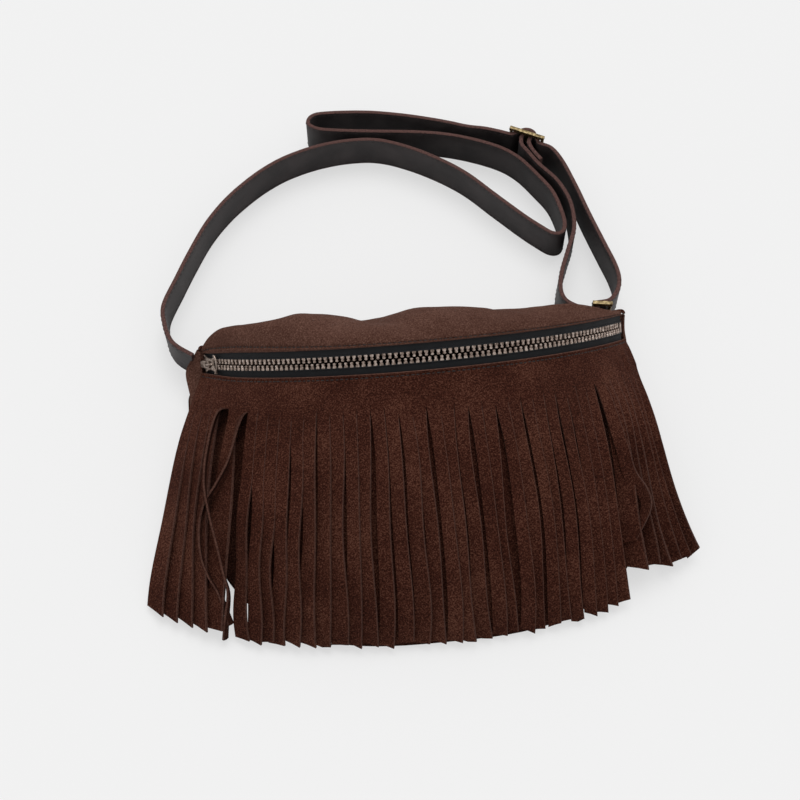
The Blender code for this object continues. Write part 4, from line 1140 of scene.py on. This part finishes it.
def rounded_copy(node, name, mat, body, width, segments=3):
    """A stand-in for a solid that is already right, with its edges rounded off."""
    mesh = frame["nodes"][node].data.copy()
    mesh.materials.clear()
    mesh.materials.append(mat)
    bm = bmesh.new()
    bm.from_mesh(mesh)
    bmesh.ops.remove_doubles(bm, verts=bm.verts, dist=1e-6)
    bmesh.ops.dissolve_limit(bm, angle_limit=math.radians(2.0), verts=bm.verts, edges=bm.edges)
    bmesh.ops.recalc_face_normals(bm, faces=bm.faces)
    corner = [e for e in bm.edges if e.is_manifold and e.calc_face_angle() > math.radians(50.0)]
    bmesh.ops.bevel(
        bm, geom=corner, offset=width, segments=segments, profile=0.5, affect="EDGES", clamp_overlap=True
    )
    bm.to_mesh(mesh)
    bm.free()
    into_scene(name, mesh, [node], body, 40.0)


# How far the plate's ends are hollowed out between its horns: -1 is the end at the mouth
PLATE_HOLLOW = {-1: 0.0038, 1: 0.0019}


def slider_plate():
    """Outline of the slider's upper plate: four horns with hollow sides and ends."""
    points = []
    steps = 8
    half = SLIDER_LENGTH / 2
    for side in (1, -1):
        for i in range(steps + 1):
            x = side * mix(half, -half, i / steps)
            y = mix(SLIDER_WAIST, SLIDER_WIDTH, abs(2.0 * i / steps - 1.0) ** 2) / 2
            points.append((x, side * y))
        for i in range(1, 6):
            y = side * mix(SLIDER_WIDTH / 2, -SLIDER_WIDTH / 2, i / 6)
            hollow = PLATE_HOLLOW[side] * math.sin(math.pi * i / 6)
            points.append((-side * (half - hollow), y))
    return points


def zip_slider():
    """Die-cast slider: two horned plates, the web between them, a rim round its mouth and the crown."""
    outline = slider_plate()
    upper_steps = [(PLATE_IN, 0.0002), (PLATE_IN + 0.0002, 0.0), (PLATE_OUT - 0.0005, 0.0)]
    upper_steps += [(PLATE_OUT - 0.0001, 0.0004), (PLATE_OUT, 0.0009)]
    lower_steps = [(-PLATE_OUT, 0.0006), (-PLATE_OUT + 0.0005, 0.0), (-PLATE_IN, 0.0002)]
    web_start = -SLIDER_LENGTH / 2 + 0.0020
    web_end = -SLIDER_LENGTH / 2 + SLIDER_WEB_LENGTH
    half = SLIDER_WEB / 2
    corners = [(web_start, -half), (web_end, -half), (web_end, half), (web_start, half)]
    web_steps = [(-PLATE_IN - 0.0004, 0.0), (PLATE_IN + 0.0004, 0.0)]
    mouth = []
    for turn in spaced(math.radians(-84.0), math.radians(84.0), 18):
        bow = SLIDER_LENGTH / 2 - RIM_FROM_END + RIM_BOW * math.cos(turn)
        mouth.append(Vector((bow, RIM_HALF_WIDTH * math.sin(turn), PLATE_OUT - 0.0002)))
    crown = []
    for turn in spaced(0.0, math.pi, 16):
        rise = PLATE_OUT - 0.0004 + CROWN_RISE * math.sin(turn)
        crown.append(Vector((-CROWN_SPAN / 2 * math.cos(turn), 0.0, rise)))
    parts = [levels(outline, upper_steps), levels(outline, lower_steps), levels(corners, web_steps)]
    parts += [tube(mouth, RIM_RADIUS), tube(crown, CROWN_RADIUS, 10)]
    points, faces = gather(set_on_zip(parts, SLIDER_ANGLE))
    piece("zip_slider_cast", points, faces, [SLIDER_METAL], ["zip_slider"], "slider", sharp=35)


def zip_metal():
    zip_slider()
    rounded_copy("zip_pull", "zip_pull_cast", SLIDER_METAL, "pull", 0.0003)
    for node in ("zip_stop_left_lower", "zip_stop_left_upper", "zip_stop_right"):
        rounded_copy(node, node + "_crimped", TEETH, "bag", 0.0004)


# Strap


def on_plan(place, points):
    placed = [place @ Vector((x, y, 0.0)) for x, y in points]
    return [(p.x, p.y, STRAP_BASE) for p in placed]


def upright_frame(x, y, turn):
    return Matrix.Translation((x, y, 0.0)) @ Matrix.Rotation(turn, 4, "Z")


def round_bar(x, radius, turns):
    """Plan of the strap round a bar at x, over it or, with a negative radius, under it."""
    return [(x + abs(radius) * math.sin(turn), radius * math.cos(turn)) for turn in turns]


BUCKLE_FRAME = upright_frame(BUCKLE_X, BUCKLE_Y, BUCKLE_TURN)
# Middle of the strap from the middle of a bar that it lies on
BAR_WRAP = BAR / 2 + SEAT_GAP + STRAP_THICK / 2


def buckle_route():
    """Plan of the strap through the buckle: outside the middle bar, inside the outer bars."""
    over = BAR_WRAP + SEAT_GAP + STRAP_THICK
    swing = math.asin((over + BAR_WRAP) / BUCKLE_PITCH)
    points = [(-BUCKLE_PITCH - 0.010, -BAR_WRAP - 0.0008)]
    points += round_bar(-BUCKLE_PITCH, -BAR_WRAP, (0.0, 0.55 * swing, swing))
    points += round_bar(0.0, over, (-swing, -0.5 * swing, 0.0, 0.5 * swing, swing))
    points += round_bar(BUCKLE_PITCH, -BAR_WRAP, (-swing, -0.55 * swing, 0.0))
    points.append((BUCKLE_PITCH + 0.010, -BAR_WRAP - 0.0008))
    return on_plan(BUCKLE_FRAME, points)


def tail_route():
    """Plan of the strap's sewn end: up to the middle bar, round it and back down beside itself."""
    beside = STRAP_THICK + 2 * SEAT_GAP
    points = [(0.0080, -0.0165), (0.0000, -0.0110), (-BAR_WRAP + 0.0003, -0.0050)]
    points += round_bar(0.0, BAR_WRAP, spaced(-math.pi / 2, math.pi / 2, 4))
    points += [(BAR_WRAP + 0.0002, -0.0030), (BAR_WRAP + 0.0010, -0.0065)]
    points.append((0.0080 + 0.6 * beside, -0.0165 + 0.95 * beside))
    points.append((0.0180 + 0.5 * beside, -0.0230 + 0.95 * beside))
    return on_plan(BUCKLE_FRAME, points)


def ring_frame():
    seam = end_point(1, *TAB_SEAM_AT)
    return upright_frame(seam.x + RING_FROM_SEAM_X, seam.y + RING_FROM_SEAM_Y, RING_TURN)


def ring_route():
    """Plan of the strap round the ring's bar, on the bag's side of it."""
    turns = [math.radians(turn) for turn in (30, 60, 90, 120, 150, 180)]
    return on_plan(ring_frame(), round_bar(0.0, BAR_WRAP + 2 * SEAT_GAP, turns))


# The strap's route in plan and lift: from the left end's seam, round the big loop and through the buckle
FROM_LEFT_SEAM = (
    (-0.0018, -0.0044, 0.003), (-0.0139, 0.0051, 0.003), (-0.0199, 0.0146, 0.002), (-0.0234, 0.0286, 0.001),
    (-0.0239, 0.0466, 0.0),
)
LOOP = (
    (-0.184, 0.176), (-0.173, 0.200), (-0.159, 0.227), (-0.143, 0.249), (-0.125, 0.267), (-0.107, 0.281),
    (-0.088, 0.2915), (-0.062, 0.3000), (-0.035, 0.3035), (-0.010, 0.3015), (0.015, 0.2910), (0.040, 0.2750),
    (0.061, 0.2570), (0.082, 0.2320), (0.102, 0.2085), (0.1130, 0.1970), (0.1225, 0.1885), (0.1300, 0.1880),
    (0.134, 0.195), (0.134, 0.208), (0.130, 0.230), (0.121, 0.248), (0.107, 0.270), (0.089, 0.285),
    (0.058, 0.299), (0.027, 0.3065), (-0.020, 0.3125), (-0.047, 0.3165), (-0.061, 0.320), (-0.068, 0.3265),
    (-0.064, 0.3345), (-0.051, 0.3365), (-0.018, 0.334), (0.007, 0.329), (0.029, 0.323), (0.050, 0.316),
    (0.068, 0.309),
)
TO_BUCKLE = ((0.082, 0.3040, 0.0015),)
# Then down to the ring, round its bar, and up again to the buckle's middle bar, where it is sewn
TO_RING = ((0.1425, 0.2600, 0.003), (0.1500, 0.2330, 0.001), (0.1560, 0.2050, 0.0), (0.1630, 0.1740, 0.0))
ONTO_RING = (
    (0.0260, 0.0405, 0.001), (0.0265, 0.0255, 0.002), (0.0225, 0.0135, 0.003), (0.0145, 0.0045, STRAP_BASE),
)
OFF_RING = (
    (-0.0065, -0.0010, STRAP_BASE), (-0.0140, 0.0035, 0.003), (-0.0200, 0.0105, 0.002),
    (-0.0215, 0.0215, 0.001),
)
UP_TO_TAIL = (
    (0.1240, 0.1490, 0.0), (0.1330, 0.1710, 0.0), (0.1405, 0.1890, 0.0), (0.1430, 0.2050, 0.0),
    (0.1420, 0.2230, 0.0), (0.1350, 0.2420, 0.001), (0.1224, 0.2588, 0.003),
)


def moved(points, origin):
    return [(origin.x + x, origin.y + y, lift) for x, y, lift in points]


def strap_route():
    """The strap's route from the bag's left end to its sewn tail, as (x, y, lift)."""
    ring = ring_frame().translation
    route = moved(FROM_LEFT_SEAM, end_point(-1, *STRAP_SEAM_AT)) + [(x, y, 0.0) for x, y in LOOP]
    route += [*TO_BUCKLE, *buckle_route(), *TO_RING, *moved(ONTO_RING, ring), *ring_route()]
    return route + [*moved(OFF_RING, ring), *UP_TO_TAIL, *tail_route()]


def smooth_line(points, per_span):
    """A smooth route through the points, in many short steps."""
    fine = []
    count = len(points)
    for i in range(count - 1):
        near = [np.array(points[min(max(i + k, 0), count - 1)]) for k in (-1, 0, 1, 2)]
        fine += [through(*near, k / per_span) for k in range(per_span)]
    fine.append(np.array(points[-1]))
    return np.array(fine)


def strap_stations():
    """Strap stations a few millimetres apart, closer on tight turns, with the way ahead at each."""
    fine = smooth_line(strap_route(), 24)
    kept = [0]
    for i in range(1, len(fine) - 1):
        before = fine[kept[-1] + 1] - fine[kept[-1]]
        here = fine[i + 1] - fine[i]
        cosine = np.dot(before[:2], here[:2]) / (np.linalg.norm(before[:2]) * np.linalg.norm(here[:2]))
        far = np.linalg.norm(fine[i] - fine[kept[-1]])
        if far >= 0.0034 or (cosine < math.cos(math.radians(7)) and far > 0.0005):
            kept.append(i)
    kept.append(len(fine) - 1)
    places = fine[kept]
    return places, np.gradient(places, axis=0)


# Upper quarter of the strap's section: (share of half the thickness, distance down from the edge)
STRAP_EDGE_SHAPE = (
    (0.35, 0.0), (0.75, 0.00008), (0.96, 0.0004), (1.0, 0.0009), (1.0, 0.0018), (0.93, 0.0024), (1.0, 0.0030)
)


def strap_section():
    """Section of the strap as (across the thickness, up, kind): rounded raw edges and a creased line."""
    half = STRAP_THICK / 2
    right = []
    for share, drop in STRAP_EDGE_SHAPE:
        right.append((half * share, STRAP_WIDTH - drop, 1 if drop < 0.0009 else 0))
    right += [(half, STRAP_WIDTH * part, 0) for part in (0.72, 0.5, 0.28)]
    right += [(half * share, drop, 1 if drop <= 0.0009 else 0) for share, drop in reversed(STRAP_EDGE_SHAPE)]
    left = [(-x, z, kind) for x, z, kind in reversed(right)]
    return right + left


def strap():
    """The strap along its whole route, standing on edge, with dyed faces and raw edges."""
    places, ahead = strap_stations()
    section = strap_section()
    count = len(section)
    points = []
    for i, (place, way) in enumerate(zip(places, ahead)):
        side = Vector((-way[1], way[0], 0.0)).normalized()
        foot = Vector(place)
        for k, (x, z, kind) in enumerate(section):
            uneven = 0.00012 * noise.noise(Vector((i * 0.7, k * 1.3, 0.0))) if kind else 0.0
            points.append(foot + side * x + Vector((0.0, 0.0, max(0.0, z + uneven))))
    faces = ring_faces(count, len(places))
    # A face is raw where it lies between two points of the section's raw edges
    raw = [kind * section[(k + 1) % count][2] for k, (_, _, kind) in enumerate(section)]
    kinds = raw * (len(places) - 1) + [1, 1]
    hide = [STRAP_FACE, STRAP_EDGE]
    piece("strap_hide", points, faces, hide, ["strap"], kinds=kinds, sharp=50)
    strap_stitches(places, ahead)


def strap_stitches(places, ahead):
    """A sewn line along both edges of both faces of the strap."""
    lengths = np.concatenate([[0.0], np.cumsum(np.linalg.norm(np.diff(places, axis=0), axis=1))])
    rows = []
    for i in range(2, int(lengths[-1] / STRAP_STITCH_PITCH) - 2):
        at = i * STRAP_STITCH_PITCH
        place = Vector([float(np.interp(at, lengths, places[:, k])) for k in range(3)])
        way = Vector([float(np.interp(at, lengths, ahead[:, k])) for k in range(3)]).normalized()
        side = Vector((-way.y, way.x, 0.0)).normalized()
        for face in (-1, 1):
            for height in (STRAP_STITCH_INSET, STRAP_WIDTH - STRAP_STITCH_INSET):
                start = place + side * (face * STRAP_THICK / 2 * 0.95) + Vector((0.0, 0.0, height))
                rows.append((start, way, side * face))
    points, faces = stitch_row(rows, STRAP_THREAD_RADIUS, STRAP_STITCH_LENGTH)
    piece("strap_stitches", points, faces, [STRAP_THREAD], sharp=80)


def strap_metal():
    rounded_copy("strap_buckle", "strap_buckle_cast", BRASS, "bag", 0.0009)
    rounded_copy("strap_ring", "strap_ring_cast", BRASS, "bag", 0.0009)
    rounded_copy("ring_tab", "ring_tab_suede", SUEDE_SHADED_NAP_DOWN, "bag", 0.0004, 2)

# Floor, light and camera


def stage():
    """A pale floor and plain soft light from above and behind."""
    mesh = bpy.data.meshes.new("floor")
    corners = [(x * FLOOR_HALF, y * FLOOR_HALF, 0.0) for x, y in ((-1, -1), (1, -1), (1, 1), (-1, 1))]
    mesh.from_pydata(corners, [], [(0, 1, 2, 3)])
    floor = bpy.data.objects.new("floor", mesh)
    floor.location.z = -FLOOR_DROP
    bpy.context.scene.collection.objects.link(floor)
    mat, tree, shader, _ = new_material("pale_paper_floor")
    connect(tree, shader, {"Base Color": colour("#f1f1f1"), "Roughness": 1.0, "Specular IOR Level": 0.0})
    # The camera sees the paper partly as a lit backdrop, which keeps its shadows light
    glow = add(tree, "ShaderNodeEmission", {"Color": colour("#f1f1f1"), "Strength": 1.0})
    to_camera = tree.nodes.new("ShaderNodeLightPath").outputs["Is Camera Ray"]
    part = weighed(tree, to_camera, PAPER_GLOW)
    seen = add(tree, "ShaderNodeMixShader", {0: part, 1: shader.outputs[0], 2: glow})
    connect(tree, tree.nodes["Material Output"], {"Surface": seen})
    mesh.materials.append(mat)
    world = bpy.data.worlds.new("soft_daylight")
    world.use_nodes = True
    world.node_tree.nodes["Background"].inputs["Color"].default_value = (1.0, 1.0, 1.0, 1.0)
    world.node_tree.nodes["Background"].inputs["Strength"].default_value = SKY_STRENGTH
    bpy.context.scene.world = world
    lamp = bpy.data.lights.new("window", "SUN")
    lamp.energy = WINDOW_STRENGTH
    lamp.angle = WINDOW_SPREAD
    sun = bpy.data.objects.new("window", lamp)
    sun.rotation_euler = WINDOW_FROM.to_track_quat("Z", "Y").to_euler()
    bpy.context.scene.collection.objects.link(sun)


def camera():
    """The photograph's view."""
    flat = math.cos(VIEW_ELEVATION)
    back = Vector((math.sin(VIEW_AZIMUTH) * flat, -math.cos(VIEW_AZIMUTH) * flat, math.sin(VIEW_ELEVATION)))
    data = bpy.data.cameras.new("camera")
    data.lens = VIEW_LENS
    data.sensor_width = 36.0
    cam = bpy.data.objects.new("camera", data)
    cam.location = VIEW_AIM + back * VIEW_DISTANCE
    cam.rotation_euler = back.to_track_quat("Z", "Y").to_euler()
    bpy.context.scene.collection.objects.link(cam)
    bpy.context.scene.camera = cam


camera()
stage()
top_panel()
front_panel()
end_panels()
back_and_seams()
fringe()
zip_stitches()
zip_tapes()
zip_teeth()
zip_metal()
strap()
strap_metal()

bpy.context.scene.view_settings.view_transform = "Standard"
